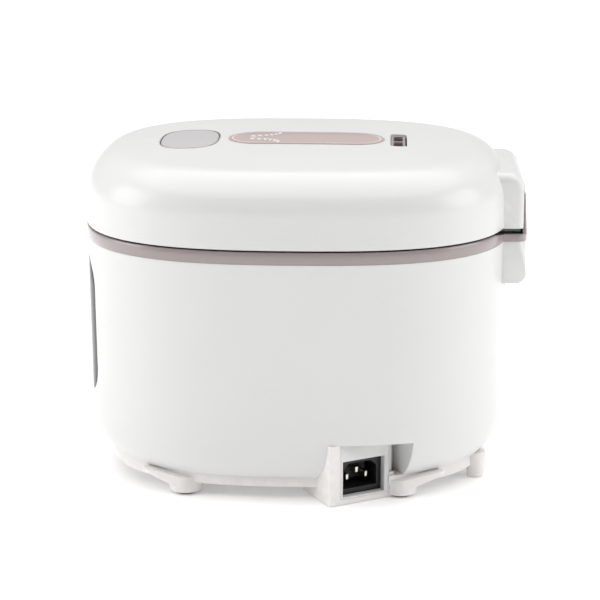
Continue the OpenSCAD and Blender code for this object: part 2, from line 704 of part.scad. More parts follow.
module lid_shell() color(shell_white) difference() {
    loft(lid_rings(0, lid_bottom));
    difference() {
        loft(lid_rings(lid_wall, lid_bottom - slack));
        for (p = lid_screw_places) translate(p) disc(3.6, liner_top, 230, 32);
    }
    for (p = lid_screw_places) translate(p) disc(1.6, liner_top - slack, liner_top + 10, 32);
    translate([button_x, 0, 200]) linear_extrude(40) polygon(button_outline(1.1));
    translate([cap_x + cap_notch / 2, 0, 200]) linear_extrude(40)
        round_rect(cap_len + cap_notch + 0.6, cap_wid + 0.6, 2.5);
    // Window that follows the hinge cover
    cover_form(-gap);
}

// Block with the hinge cover's outer form, drawn in by inset
module cover_form(inset) intersection() {
    translate([0, 0, cover_bottom - slack]) linear_extrude(60) housing_plan(inset, 122, cover_back);
    side_profile(hinge_wid + 10) {
        translate([100, cover_bottom - slack])
            square([cover_back - 112, cover_top - cover_bottom + slack - inset]);
        translate([100, cover_bottom - slack])
            square([cover_back - 100 - inset, cover_top - cover_bottom + slack - 12]);
        translate([cover_back - 12, cover_top - 12]) circle(r = 12 - inset, $fn = 64);
    }
    rotate([90, 0, 90]) translate([0, (cover_top - inset) / 2, 100]) linear_extrude(60)
        round_rect(hinge_wid - 2 * inset, cover_top - inset, cover_fillet - inset);
}

module hinge_cover() color(shell_white) difference() {
    cover_form(0);
    cover_form(2.2);
    block([100, 160], [-60, 60], [0, cover_bottom]);
    // Opening at the back for the plate of the trim band
    block([hinge_back - 8, 160], [-42.8, 42.8], [0, tower_top + plate_gap]);
    // The lower corners are round, to pass the trim band when the lid swings
    difference() {
        block([cover_back - 2.5, 160], [-60, 60], [0, cover_bottom + 2.5]);
        translate([cover_back - 2.5, 60, cover_bottom + 2.5]) rotate([90, 0, 0])
            cylinder(r = 2.5, h = 120, $fn = 48);
    }
}

module lid_liner() color("#e9e7e4") {
    difference() {
        union() {
            translate([0, 0, liner_z]) linear_extrude(liner_t) oval_plan(3.4);
            // Ring that holds the inner lid
            disc(86.5, 158.5, liner_z + 1);
        }
        difference() {
            disc(84, 0, liner_z);
            // Post for the inner lid's grip
            disc(6, 163, liner_z, 48);
        }
        block([119, 160], [-hinge_wid / 2 - 0.6, hinge_wid / 2 + 0.6], [0, 200]);
        block([latch_x - 8, latch_x + 3], [-11.5, 11.5], [0, 200]);
        translate([cap_x, 0, 0]) disc(5, 0, 200, 48);
        for (p = lid_screw_places) translate(p) disc(1.7, 0, 200, 32);
    }
    // Arms that turn on the hinge pin
    mirror_y() difference() {
        translate([0, 25, 0]) side_profile(10) {
            polygon([[106, liner_top - 0.5], [119, liner_top - 0.5],
                [pivot_x + 1, pivot_z - knuckle_r + 0.1], [pivot_x, pivot_z + knuckle_r],
                [124, pivot_z + 2], [106, liner_top + 5]]);
            translate([pivot_x, pivot_z]) circle(r = knuckle_r, $fn = 64);
        }
        translate([pivot_x, 50, pivot_z]) rotate([90, 0, 0])
            cylinder(r = pin_r + 0.06, h = 100, $fn = 64);
    }
    // Ears for the latch pin
    mirror_y() difference() {
        block([latch_x - 4, latch_x + 4], [13, 15.5], [liner_top - 0.5, latch_z + 4]);
        translate([latch_x, 50, latch_z]) rotate([90, 0, 0]) cylinder(r = 1.52, h = 100, $fn = 48);
    }
}

lid_screw_places = [[-102, -60], [-102, 60], [0, -101], [0, 101], [102, -60], [102, 60]];

module lid_screws() color(steel) for (p = lid_screw_places) translate(p) {
    disc(3.2, liner_z - 1.8, liner_z, 32);
    disc(1.6, liner_z, liner_top + 9, 32);
}

module inner_lid() color("#c4c5c6") difference() {
    rotate_extrude($fn = 96) polygon([[0, 157.8], [74, 157.8], [78, 155.4], [81.8, 155.4], [81.8, 158.4],
        [80.8, 158.4], [80.8, 156.6], [78.4, 156.6], [74.4, 159], [8, 159], [7, 163], [0, 163]]);
    for (a = [-20, 0, 20]) rotate(a) translate([cap_x, 0, 0]) disc(2.2, 0, 200, 32);
}

// Seal with a lip that bears on the pot's flange
module lid_gasket() color("#d9d4cc") rotate_extrude($fn = 96)
    polygon([[82, 155.6], [88, 155.6], [90.8, 154.5], [91.8, 154.7], [89, 156.6], [89, 158.5], [82, 158.5]]);

module label_plate() color("#c9b4ae") crown_plate(stadium(label_len, label_wid), label_x, 0.12, 0.5);

// The button's outline, drawn outwards by grow and laid on the crown
function bezel_ring(grow, up) = [for (p = button_outline(grow))
    let (x = p[0] + button_x) [x, p[1], crown_z(x, p[1]) + up]];

module button_bezel() color(rose_taupe) loft([bezel_ring(1.1, -5), bezel_ring(1.1, 0.1),
    bezel_ring(0.8, 0.3), bezel_ring(0.4, 0.1), bezel_ring(0.4, -5)], loop = true);

module release_button() color("#c9c7c8") {
    outline = button_outline(0);
    crown_plate(outline, button_x, -6, 0.3, dome = 1.6);
    // Post that pushes the latch lever
    side_profile(8) {
        translate([post_x - 2, latch_z + 5.3]) square([4, crown_edge_z - latch_z - 8]);
        translate([post_x, latch_z + 5.3]) circle(r = 2, $fn = 32);
    }
    translate([button_x, 0, 0]) disc(2.6, crown_edge_z - 12, crown_edge_z - 3, 48);
}

module button_spring() color(steel) translate([button_x, 0, 0])
    wire(coil(4.2, liner_top + 0.6, crown_edge_z - 4.9, 7, 8), 0.6, 5);

module latch_hook() color("#8f8f92") difference() {
    side_profile(20) {
        translate([latch_x, latch_z]) circle(r = 4, $fn = 48);
        translate([latch_x, latch_z - 1]) square([post_x - latch_x + 4, 4]);
        translate([latch_x - 4, deck_z - 9]) square([3.5, latch_z - deck_z + 9]);
        polygon([[latch_x - 4, deck_z - 9], [latch_x + 1, deck_z - 9], [latch_x + 2.4, deck_z - 6],
            [latch_x + 2.4, deck_z - 5.2], [latch_x - 4, deck_z - 5.2]]);
    }
    translate([latch_x, 50, latch_z]) rotate([90, 0, 0]) cylinder(r = 1.56, h = 100, $fn = 48);
}

module latch_pin() color(steel) translate([latch_x, 0, latch_z]) rotate([90, 0, 0])
    cylinder(r = 1.5, h = 32, center = true, $fn = 48);

module latch_spring() color(steel) translate([latch_x + 16, 0, 0])
    wire(coil(3, liner_top + 0.5, latch_z - 1.5, 4, 8), 0.5, 5);

module steam_duct() color(dark_plastic) translate([cap_x + cap_notch / 2, 0, 0]) difference() {
    translate([0, 0, liner_top]) linear_extrude(crown_edge_z - 1 - liner_top)
        round_rect(cap_len + cap_notch + 3.6, cap_wid + 3.6, 4);
    translate([0, 0, liner_top + 1.5]) linear_extrude(60)
        round_rect(cap_len + cap_notch + 0.6, cap_wid + 0.6, 2.5);
    translate([-cap_notch / 2, 0, 0]) disc(5, 0, 200, 48);
}

// Lift-out cap with two windows over a splash cup
module steam_cap() color(rose_taupe) translate([cap_x, 0, 0]) {
    top = crown_edge_z + 1;
    bar = 1.8;
    difference() {
        translate([0, 0, top - 40]) linear_extrude(40) round_rect(cap_len, cap_wid, 2);
        translate([0, 0, top - 38.5]) linear_extrude(34) round_rect(cap_len - 2.4, cap_wid - 2.4, 1);
        for (s = [-1, 1]) translate([0, s * (cap_wid - 5.6 + bar) / 4, top - 10])
            linear_extrude(20) round_rect(cap_len - 4, (cap_wid - 5.6 - bar) / 2, 1.2);
        for (y = [-12, 0, 12]) translate([0, y, 0]) disc(2, 0, top - 36, 32);
    }
}

// ---------- Assembly ----------

module place() translate([centre_x, 0, 0]) children();

place() base_pan();
place() rubber_feet();
place() case_screws();
place() outer_shell();
place() trim_band();
place() rim_frame();
place() rear_housing();
place() hinge_bracket();
place() bracket_screws();
place() hinge_pin();
place() hinge_spring();
place() latch_keeper();
place() pot_well();
place() side_heater();
place() heating_plate();
place() heating_element();
place() thermal_fuse();
place() sensor_bracket();
place() sensor_cap();
place() sensor_thermistor();
place() sensor_spring();
place() inner_pot();
place() panel_lens();
place() panel_carrier();
place() display_board();
place() led_display();
place() touch_pads();
place() power_board();
place() board_components();
place() inlet_faceplate();
place() inlet_socket();
place() inlet_pins();
place() mains_leads();
place() lid_shell();
place() hinge_cover();
place() lid_liner();
place() lid_screws();
place() inner_lid();
place() lid_gasket();
place() label_plate();
place() button_bezel();
place() release_button();
place() button_spring();
place() latch_hook();
place() latch_pin();
place() latch_spring();
place() steam_duct();
place() steam_cap();
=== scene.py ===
"""Looks of the rice cooker. The model is in metres; sizes here are in millimetres from the oval's middle."""

import bpy
import json
import math
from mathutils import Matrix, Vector

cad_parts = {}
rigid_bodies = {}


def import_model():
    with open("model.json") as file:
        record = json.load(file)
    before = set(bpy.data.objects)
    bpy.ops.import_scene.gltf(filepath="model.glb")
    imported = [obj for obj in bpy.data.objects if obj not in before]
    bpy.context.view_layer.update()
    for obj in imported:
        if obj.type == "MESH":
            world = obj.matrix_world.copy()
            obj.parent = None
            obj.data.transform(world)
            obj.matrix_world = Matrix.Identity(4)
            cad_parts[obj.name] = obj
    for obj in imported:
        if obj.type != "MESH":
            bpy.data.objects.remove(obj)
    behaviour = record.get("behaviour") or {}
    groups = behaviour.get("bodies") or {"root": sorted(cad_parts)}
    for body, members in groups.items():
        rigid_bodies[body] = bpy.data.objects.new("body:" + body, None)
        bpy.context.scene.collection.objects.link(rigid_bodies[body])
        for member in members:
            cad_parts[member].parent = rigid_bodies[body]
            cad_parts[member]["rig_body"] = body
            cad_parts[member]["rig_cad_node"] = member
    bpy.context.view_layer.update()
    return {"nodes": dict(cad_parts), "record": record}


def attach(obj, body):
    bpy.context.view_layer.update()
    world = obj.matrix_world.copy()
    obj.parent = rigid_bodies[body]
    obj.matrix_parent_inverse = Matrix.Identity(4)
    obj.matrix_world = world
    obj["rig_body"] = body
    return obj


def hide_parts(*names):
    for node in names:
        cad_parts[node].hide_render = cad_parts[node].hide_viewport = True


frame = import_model()
MM = 0.001

# ---------------------------------------------------------------- sizes
# They are the CAD source's, apart from HOUSING_BOTTOM, HOUSING_BACK, PLATE_TOP and those of the button,
# steam cap, panel and niche, which were measured again after it.
MIDDLE = -5.5  # the oval's middle, in front of the part's own because the hinge housing stands out behind
HALF_LENGTH = 140
HALF_WIDTH = 115
OVAL = 2.7  # squareness of the oval, where 2 is an ellipse
SHELL_TOP = 160
SHELL_WALL = 2.5
TUCK_IN = 29  # the body's turned-in lower edge: its reach, its height and where it starts
TUCK_UP = 38
TUCK_Z = 47
BAND_TOP = 168
LID_BOTTOM = 169.2
LID_WALL = 2.4
CROWN_EDGE = 216
CROWN_RISE = 3
SHOULDER_R = 27
SHOULDER_Z = CROWN_EDGE - SHOULDER_R
LEAN = 0.03  # how far the lid's side leans in per millimetre upwards
DRAFT = 0.01  # how far the body narrows per millimetre downwards
SHOULDER_LEAN = LEAN * (SHOULDER_Z - LID_BOTTOM)
CROWN_A = HALF_LENGTH - SHOULDER_R - SHOULDER_LEAN
CROWN_B = HALF_WIDTH - SHOULDER_R - SHOULDER_LEAN
HINGE_BACK = 151
COVER_BACK = 149.5
HINGE_HALF = 45
HINGE_BAND_TOP = 165
HOUSING_BOTTOM = 132
HOUSING_BACK = 150.7
COVER_TOP = 205
COVER_BOTTOM = 168.7
PLATE_TOP = 191.5
PLATE_GAP = 2.4
BUTTON_X, BUTTON_HALF = -72.2, (19, 31)
BUTTON_RIM = 1.1
LABEL_X, LABEL_LENGTH, LABEL_WIDTH = 5.5, 104, 41
CAP_X, CAP_LENGTH, CAP_WIDTH, CAP_NOTCH = 66.5, 9.6, 41, 0.7
PANEL_Z, PANEL_WIDTH, PANEL_HEIGHT, PANEL_R = 101.5, 115, 91, 19
INLET_CORNER, INLET_TURN, INLET_WIDTH = (25, -115), math.radians(30), 47
INLET_TOP = 41
NICHE_WIDTH, NICHE_DEPTH, NICHE_R = 52, 16, 8
FOOT_X, FOOT_Y = 70, 85
POT_R, POT_WALL, POT_CORNER, POT_BASE = 86, 2, 22, 40.1
PRINT = 0.03  # thickness of ink


def place(x, y, z):
    """A point of the model from one in millimetres from the oval's middle."""
    return Vector(((x + MIDDLE) * MM, y * MM, z * MM))


# ---------------------------------------------------------------- camera
AIM = place(0, 0, 110)
DISTANCE = 1.5
TURN = math.radians(2.4)
RISE = math.radians(14.9)
look = Vector((math.sin(TURN) * math.cos(RISE), -math.cos(TURN) * math.cos(RISE), math.sin(RISE)))
camera_data = bpy.data.cameras.new("camera")
camera_data.lens = 132.57
camera_data.sensor_width = 36
camera_data.shift_x = 0.0028
camera_data.shift_y = -0.0067
camera = bpy.data.objects.new("camera", camera_data)
camera.location = AIM + look * DISTANCE
camera.rotation_euler = look.to_track_quat("Z", "Y").to_euler()
bpy.context.scene.collection.objects.link(camera)
bpy.context.scene.camera = camera


# ---------------------------------------------------------------- shared effects for the finishes
BUMP_HEIGHT = 0.0002
DUST = (0.62, 0.6, 0.57)


def effect(name, inputs, outputs):
    """A new node group with its sockets, and its input and output nodes."""
    group = bpy.data.node_groups.new(name, "ShaderNodeTree")
    for label, value in inputs.items():
        socket = group.interface.new_socket(name=label, in_out="INPUT", socket_type="NodeSocketFloat")
        socket.default_value = value
    for label, kind in outputs.items():
        group.interface.new_socket(name=label, in_out="OUTPUT", socket_type=kind)
    return group, group.nodes.new("NodeGroupInput"), group.nodes.new("NodeGroupOutput")


def chain(tree, kind, inputs=(), **settings):
    """A node with its settings, its inputs linked or set in order of name."""
    node = tree.nodes.new(kind)
    for key, value in settings.items():
        setattr(node, key, value)
    for key, value in dict(inputs).items():
        socket = node.inputs[key]
        if isinstance(value, bpy.types.NodeSocket):
            tree.links.new(value, socket)
        else:
            socket.default_value = value
    return node


def maths(tree, operation, first, second):
    return chain(tree, "ShaderNodeMath", {0: first, 1: second}, operation=operation).outputs[0]


def remap(tree, value, start=0.0, end=1.0, low=0.0, high=1.0):
    """A value carried from one range to another, and held inside it."""
    return chain(tree, "ShaderNodeMapRange", {"Value": value, "From Min": start, "From Max": end,
                                              "To Min": low, "To Max": high}).outputs["Result"]


def noise(tree, where, scale, detail, roughness=0.5):
    return chain(tree, "ShaderNodeTexNoise", {"Vector": where, "Scale": scale, "Detail": detail,
                                              "Roughness": roughness}).outputs["Fac"]


def make_surface_grain():
    """Fine pebble of a moulded or cast surface, with slow changes of tone over it."""
    group, given, out = effect(
        "surface_grain", {"Fineness": 900, "Depth": 0.1, "Waviness": 14},
        {"Normal": "NodeSocketVector", "Tone": "NodeSocketFloat", "Speck": "NodeSocketFloat"})
    spot = chain(group, "ShaderNodeTexCoord").outputs["Object"]
    fine = noise(group, spot, given.outputs["Fineness"], 2.0)
    slow = noise(group, spot, given.outputs["Waviness"], 3.0, 0.6)
    speck = noise(group, spot, 2600.0, 1.0)
    bump = chain(group, "ShaderNodeBump", {"Strength": given.outputs["Depth"], "Distance": BUMP_HEIGHT,
                                           "Height": fine})
    group.links.new(bump.outputs["Normal"], out.inputs["Normal"])
    group.links.new(slow, out.inputs["Tone"])
    group.links.new(speck, out.inputs["Speck"])
    return group


def make_edge_wear():
    """Where edges stand out, broken up by handling."""
    group, given, out = effect("edge_wear", {"Start": 0.53, "Breakup": 160}, {"Mask": "NodeSocketFloat"})
    shape = chain(group, "ShaderNodeNewGeometry").outputs["Pointiness"]
    spot = chain(group, "ShaderNodeTexCoord").outputs["Object"]
    rub = noise(group, spot, given.outputs["Breakup"], 4.0)
    end = maths(group, "ADD", given.outputs["Start"], 0.07)
    ridge = remap(group, shape, given.outputs["Start"], end)
    spots = remap(group, rub, 0.42, 0.62)
    group.links.new(maths(group, "MULTIPLY", ridge, spots), out.inputs["Mask"])
    return group


def make_settled_dust():
    """A thin, uneven film on faces that look up."""
    group, given, out = effect("settled_dust", {"Patchiness": 35}, {"Mask": "NodeSocketFloat"})
    normal = chain(group, "ShaderNodeNewGeometry").outputs["Normal"]
    up = chain(group, "ShaderNodeSeparateXYZ", {"Vector": normal})
    spot = chain(group, "ShaderNodeTexCoord").outputs["Object"]
    film = noise(group, spot, given.outputs["Patchiness"], 6.0, 0.7)
    lying = remap(group, up.outputs["Z"], 0.3)
    patches = remap(group, film, 0.4, 0.75)
    group.links.new(maths(group, "MULTIPLY", lying, patches), out.inputs["Mask"])
    return group


def make_turned_lines():
    """Fine rings of a spun or turned face, round an upright axis through the middle of the oval."""
    group, given, out = effect("turned_lines", {"Pitch": 420, "Depth": 0.15},
                               {"Normal": "NodeSocketVector", "Lines": "NodeSocketFloat"})
    spot = chain(group, "ShaderNodeTexCoord").outputs["Object"]
    centred = chain(group, "ShaderNodeMapping", {"Vector": spot, "Location": (-MIDDLE * MM, 0, 0)})
    parts = chain(group, "ShaderNodeSeparateXYZ", {"Vector": centred.outputs["Vector"]})
    flat = chain(group, "ShaderNodeCombineXYZ", {"X": parts.outputs["X"], "Y": parts.outputs["Y"]})
    radius = chain(group, "ShaderNodeVectorMath", {0: flat.outputs[0]}, operation="LENGTH")
    along = chain(group, "ShaderNodeCombineXYZ", {"X": radius.outputs["Value"]})
    rings = noise(group, along.outputs[0], given.outputs["Pitch"], 4.0, 0.7)
    bump = chain(group, "ShaderNodeBump", {"Strength": given.outputs["Depth"], "Distance": BUMP_HEIGHT,
                                           "Height": rings})
    group.links.new(bump.outputs["Normal"], out.inputs["Normal"])
    group.links.new(rings, out.inputs["Lines"])
    return group


SURFACE_GRAIN = make_surface_grain()
EDGE_WEAR = make_edge_wear()
SETTLED_DUST = make_settled_dust()
TURNED_LINES = make_turned_lines()


def blend_colours(tree, amount, first, second):
    """A mix of two colours, each a socket or a plain colour, by an amount."""
    mix = tree.nodes.new("ShaderNodeMix")
    mix.data_type = "RGBA"
    for socket, value in zip((mix.inputs[0], mix.inputs[6], mix.inputs[7]), (amount, first, second)):
        if isinstance(value, bpy.types.NodeSocket):
            tree.links.new(value, socket)
        elif isinstance(value, tuple):
            socket.default_value = (*value, 1)
        else:
            socket.default_value = value
    return mix.outputs[2]


def shade(colour, k):
    return tuple(min(1.0, c * k) for c in colour)


def moulding(name, colour, roughness, fineness=1400, depth=0.08, worn=1.06, dust=0.03, coat=0.0,
             specular=0.5, variation=0.02):
    """Moulded plastic or rubber: its pebble, slow tone, rubbed edges and a trace of dust."""
    finish_ = bpy.data.materials.new(name)
    finish_.use_nodes = True
    tree = finish_.node_tree
    shell = tree.nodes["Principled BSDF"]
    grain = chain(tree, "ShaderNodeGroup", node_tree=SURFACE_GRAIN)
    grain.inputs["Fineness"].default_value = fineness
    grain.inputs["Depth"].default_value = depth
    wear = chain(tree, "ShaderNodeGroup", node_tree=EDGE_WEAR)
    film = chain(tree, "ShaderNodeGroup", node_tree=SETTLED_DUST)
    body_colour = blend_colours(tree, grain.outputs["Tone"], shade(colour, 1 - variation),
                                shade(colour, 1 + variation))
    rubbed = blend_colours(tree, wear.outputs["Mask"], body_colour, shade(colour, worn))
    dusty = maths(tree, "MULTIPLY", film.outputs["Mask"], dust)
    tree.links.new(blend_colours(tree, dusty, rubbed, DUST), shell.inputs["Base Color"])
    gloss = remap(tree, grain.outputs["Tone"], low=roughness - 0.05, high=roughness + 0.05)
    tree.links.new(maths(tree, "ADD", dusty, gloss), shell.inputs["Roughness"])
    tree.links.new(grain.outputs["Normal"], shell.inputs["Normal"])
    shell.inputs["Specular IOR Level"].default_value = specular
    shell.inputs["Coat Weight"].default_value = coat
    shell.inputs["Coat Roughness"].default_value = 0.15
    return finish_


def metal(name, colour, roughness, turned=True, depth=0.12, dark_edge=0.9):
    """Bare metal: turned rings or a fine rolled grain, with darker and brighter patches."""
    finish_ = bpy.data.materials.new(name)
    finish_.use_nodes = True
    tree = finish_.node_tree
    bare = tree.nodes["Principled BSDF"]
    bare.inputs["Metallic"].default_value = 1.0
    grain = chain(tree, "ShaderNodeGroup", node_tree=SURFACE_GRAIN)
    grain.inputs["Fineness"].default_value = 1800
    grain.inputs["Depth"].default_value = depth
    wear = chain(tree, "ShaderNodeGroup", node_tree=EDGE_WEAR)
    lines = chain(tree, "ShaderNodeGroup", node_tree=TURNED_LINES)
    lines.inputs["Depth"].default_value = depth
    pattern = lines.outputs["Lines"] if turned else grain.outputs["Speck"]
    toned = blend_colours(tree, pattern, shade(colour, 0.93), shade(colour, 1.05))
    patched = blend_colours(tree, remap(tree, grain.outputs["Tone"], high=0.35), toned,
                            shade(colour, dark_edge))
    rubbed = blend_colours(tree, wear.outputs["Mask"], patched, shade(colour, 1.12))
    tree.links.new(rubbed, bare.inputs["Base Color"])
    gloss = remap(tree, grain.outputs["Tone"], low=roughness - 0.07, high=roughness + 0.09)
    tree.links.new(gloss, bare.inputs["Roughness"])
    tree.links.new((lines if turned else grain).outputs["Normal"], bare.inputs["Normal"])
    return finish_


def make_pot_coating():
    """Hard non-stick coating, dark with fine bright flecks."""
    coating = moulding("pot_coating", (0.055, 0.054, 0.056), 0.38, fineness=1500, depth=0.12, worn=1.5,
                       dust=0.0, variation=0.06)
    tree = coating.node_tree
    shell = tree.nodes["Principled BSDF"]
    spot = chain(tree, "ShaderNodeTexCoord").outputs["Object"]
    cells = chain(tree, "ShaderNodeTexVoronoi", {"Vector": spot, "Scale": 420.0})
    fleck = remap(tree, cells.outputs["Distance"], 0.2, 0.12)
    rare = chain(tree, "ShaderNodeSeparateColor", {"Color": cells.outputs["Color"]})
    chosen = maths(tree, "GREATER_THAN", rare.outputs[0], 0.72)
    ground = shell.inputs["Base Color"].links[0].from_socket
    flecked = blend_colours(tree, maths(tree, "MULTIPLY", fleck, chosen), ground, (0.34, 0.33, 0.32))
    tree.links.new(flecked, shell.inputs["Base Color"])
    shell.inputs["Metallic"].default_value = 0.25
    return coating


def make_board_laminate():
    """Green solder mask with copper tracks showing through it."""
    board = moulding("board_laminate", (0.03, 0.13, 0.06), 0.3, fineness=700, depth=0.04, worn=1.6, dust=0.02)
    tree = board.node_tree
    shell = tree.nodes["Principled BSDF"]
    spot = chain(tree, "ShaderNodeTexCoord").outputs["Object"]
    tracks = chain(tree, "ShaderNodeTexBrick", {
        "Vector": spot, "Scale": 160.0, "Mortar Size": 0.03,
        "Color1": (0, 0, 0, 1), "Color2": (0, 0, 0, 1), "Mortar": (1, 1, 1, 1)})
    ground = shell.inputs["Base Color"].links[0].from_socket
    tracked = blend_colours(tree, tracks.outputs["Color"], ground, (0.07, 0.24, 0.1))
    tree.links.new(tracked, shell.inputs["Base Color"])
    return board


def glowing(name, colour, strength):
    """A lit print."""
    lit = moulding(name, colour, 0.4, dust=0.0)
    shell = lit.node_tree.nodes["Principled BSDF"]
    shell.inputs["Emission Color"].default_value = (*colour, 1)
    shell.inputs["Emission Strength"].default_value = strength
    return lit


FINISH = {
    "shell_plastic": moulding("shell_plastic", (0.745, 0.743, 0.738), 0.3, depth=0.05, coat=0.15, dust=0.05),
    "pan_plastic": moulding("pan_plastic", (0.85, 0.828, 0.805), 0.45, fineness=1100, depth=0.12),
    "liner_plastic": moulding("liner_plastic", (0.77, 0.76, 0.74), 0.42, depth=0.1),
    "trim_plastic": moulding("trim_plastic", (0.31, 0.26, 0.258), 0.3, fineness=1600, depth=0.06, worn=1.25,
                             coat=1.0),
    "button_plastic": moulding("button_plastic", (0.53, 0.515, 0.518), 0.33, fineness=2000, depth=0.06,
                               worn=1.12),
    "label_plastic": moulding("label_plastic", (0.52, 0.405, 0.385), 0.3, fineness=2000, depth=0.04,
                              coat=0.3),
    "dark_plastic": moulding("dark_plastic", (0.035, 0.032, 0.033), 0.42, fineness=1000, depth=0.16, worn=1.9,
                             dust=0.04, variation=0.08),
    "smoked_glass": moulding("smoked_glass", (0.012, 0.011, 0.013), 0.12, fineness=500, depth=0.005, worn=2.5,
                             dust=0.02, specular=0.05),
    "socket_plastic": moulding("socket_plastic", (0.008, 0.0075, 0.009), 0.38, fineness=900, depth=0.2,
                               worn=2.2, dust=0.02, variation=0.1),
    "foot_rubber": moulding("foot_rubber", (0.07, 0.056, 0.047), 0.72, fineness=700, depth=0.3, worn=1.6,
                            dust=0.12, variation=0.1, specular=0.3),
    "seal_rubber": moulding("seal_rubber", (0.56, 0.53, 0.49), 0.55, fineness=1200, depth=0.12, worn=1.1,
                            specular=0.4),
    "zinc_steel": metal("zinc_steel", (0.46, 0.465, 0.455), 0.38, turned=False),
    "spring_steel": metal("spring_steel", (0.5, 0.505, 0.52), 0.27, turned=False),
    "well_steel": metal("well_steel", (0.55, 0.55, 0.555), 0.36),
    "lid_metal": metal("lid_metal", (0.72, 0.722, 0.73), 0.3),
    "plate_metal": metal("plate_metal", (0.6, 0.6, 0.6), 0.4, depth=0.25),
    "element_metal": metal("element_metal", (0.2, 0.19, 0.185), 0.5, turned=False, depth=0.3,
                           dark_edge=0.5),
    "contact_metal": metal("contact_metal", (0.78, 0.75, 0.68), 0.24, turned=False, depth=0.05),
    "pot_coating": make_pot_coating(),
    "board_laminate": make_board_laminate(),
    "part_plastic": moulding("part_plastic", (0.16, 0.14, 0.1), 0.45, worn=1.3),
    "mica": moulding("mica", (0.3, 0.1, 0.06), 0.5, fineness=300, depth=0.3, variation=0.15),
    "fuse_ceramic": moulding("fuse_ceramic", (0.68, 0.63, 0.54), 0.35, fineness=500, depth=0.1),
    "lead_pvc": moulding("lead_pvc", (0.1, 0.07, 0.05), 0.42, fineness=900, depth=0.08),
}
WHITE_INK = moulding("white_ink", (0.84, 0.83, 0.82), 0.5, fineness=2200, depth=0.05, dust=0.0)
GREY_INK = moulding("grey_ink", (0.42, 0.4, 0.4), 0.5, fineness=2200, depth=0.05, dust=0.0)
LIT_SEGMENT = glowing("lit_segment", (1.0, 0.42, 0.16), 1.6)


# ---------------------------------------------------------------- modelling helpers
def clear_selection():
    if bpy.context.object and bpy.context.object.mode != "OBJECT":
        bpy.ops.object.mode_set(mode="OBJECT")
    bpy.ops.object.select_all(action="DESELECT")


def take(*pieces):
    """Selects pieces, the first of them active."""
    clear_selection()
    for piece in pieces:
        piece.select_set(True)
    bpy.context.view_layer.objects.active = pieces[0]


def settle(piece):
    """Puts a piece's place, turn and size into its mesh."""
    take(piece)
    bpy.ops.object.transform_apply(location=True, rotation=True, scale=True)
    return piece


def spot_of(co, middle=MIDDLE):
    """A mesh point in millimetres from the oval's middle."""
    return Vector((co.x / MM - middle, co.y / MM, co.z / MM))


def pick(piece, kind, test, middle=MIDDLE):
    """Opens a piece in edit mode with only the parts selected that pass the test, in millimetres.

    The test is given an edge's two ends, a face's middle and normal, or a vertex.
    """
    take(piece)
    bpy.ops.object.mode_set(mode="EDIT")
    bpy.ops.mesh.select_mode(type=kind)
    bpy.ops.mesh.select_all(action="DESELECT")
    bpy.ops.object.mode_set(mode="OBJECT")
    mesh = piece.data
    if kind == "EDGE":
        for edge in mesh.edges:
            edge.select = bool(test(*(spot_of(mesh.vertices[i].co, middle) for i in edge.vertices)))
    elif kind == "FACE":
        for face in mesh.polygons:
            face.select = bool(test(spot_of(face.center, middle), face.normal))
    else:
        for vertex in mesh.vertices:
            vertex.select = bool(test(spot_of(vertex.co, middle)))
    bpy.ops.object.mode_set(mode="EDIT")


def close():
    bpy.ops.object.mode_set(mode="OBJECT")


def block(x, y, z, middle=MIDDLE):
    """A box between pairs of limits, to be shaped further."""
    clear_selection()
    centre = (((x[0] + x[1]) / 2 + middle) * MM, (y[0] + y[1]) / 2 * MM, (z[0] + z[1]) / 2 * MM)
    bpy.ops.mesh.primitive_cube_add(size=1, location=centre)
    piece = bpy.context.object
    piece.scale = ((x[1] - x[0]) * MM, (y[1] - y[0]) * MM, (z[1] - z[0]) * MM)
    return settle(piece)


def peg(x, y, r, z, steps=64):
    """An upright cylinder between a pair of heights, to be shaped further."""
    clear_selection()
    bpy.ops.mesh.primitive_cylinder_add(vertices=steps, radius=r * MM, depth=(z[1] - z[0]) * MM,
                                        location=place(x, y, (z[0] + z[1]) / 2))
    return settle(bpy.context.object)


def round_edges(piece, test, width, steps=8, middle=MIDDLE):
    """Rounds the edges whose ends pass the test."""
    pick(piece, "EDGE", test, middle)
    bpy.ops.mesh.bevel(offset=width * MM, segments=steps, affect="EDGES", profile=0.5, clamp_overlap=False)
    bpy.ops.mesh.select_all(action="SELECT")
    bpy.ops.mesh.remove_doubles(threshold=1e-7)
    close()
    return piece


def combine(piece, other, how="DIFFERENCE"):
    """Cuts one piece with another, or joins them into one solid."""
    take(piece)
    tool = piece.modifiers.new("tool", "BOOLEAN")
    tool.operation = how
    tool.object = other
    bpy.ops.object.modifier_apply(modifier="tool")
    bpy.data.objects.remove(other)
    return piece


def soften(piece, width=0.3, steps=2, angle=32):
    """Breaks every sharp edge, as a mould does."""
    take(piece)
    edge = piece.modifiers.new("edge", "BEVEL")
    edge.width = width * MM
    edge.segments = steps
    edge.limit_method = "ANGLE"
    edge.angle_limit = math.radians(angle)
    edge.use_clamp_overlap = True
    bpy.ops.object.modifier_apply(modifier="edge")
    return piece


def thicken(piece, thickness, offset):
    """Gives a flat sheet its thickness, to one side or half to each."""
    take(piece)
    sheet = piece.modifiers.new("sheet", "SOLIDIFY")
    sheet.thickness = thickness * MM
    sheet.offset = offset
    bpy.ops.object.modifier_apply(modifier="sheet")
    return piece


def join(*pieces):
    take(*pieces)
    bpy.ops.object.join()
    return bpy.context.object


def twin(piece):
    """A copy with a mesh of its own."""
    copy = piece.copy()
    copy.data = piece.data.copy()
    bpy.context.scene.collection.objects.link(copy)
    return copy


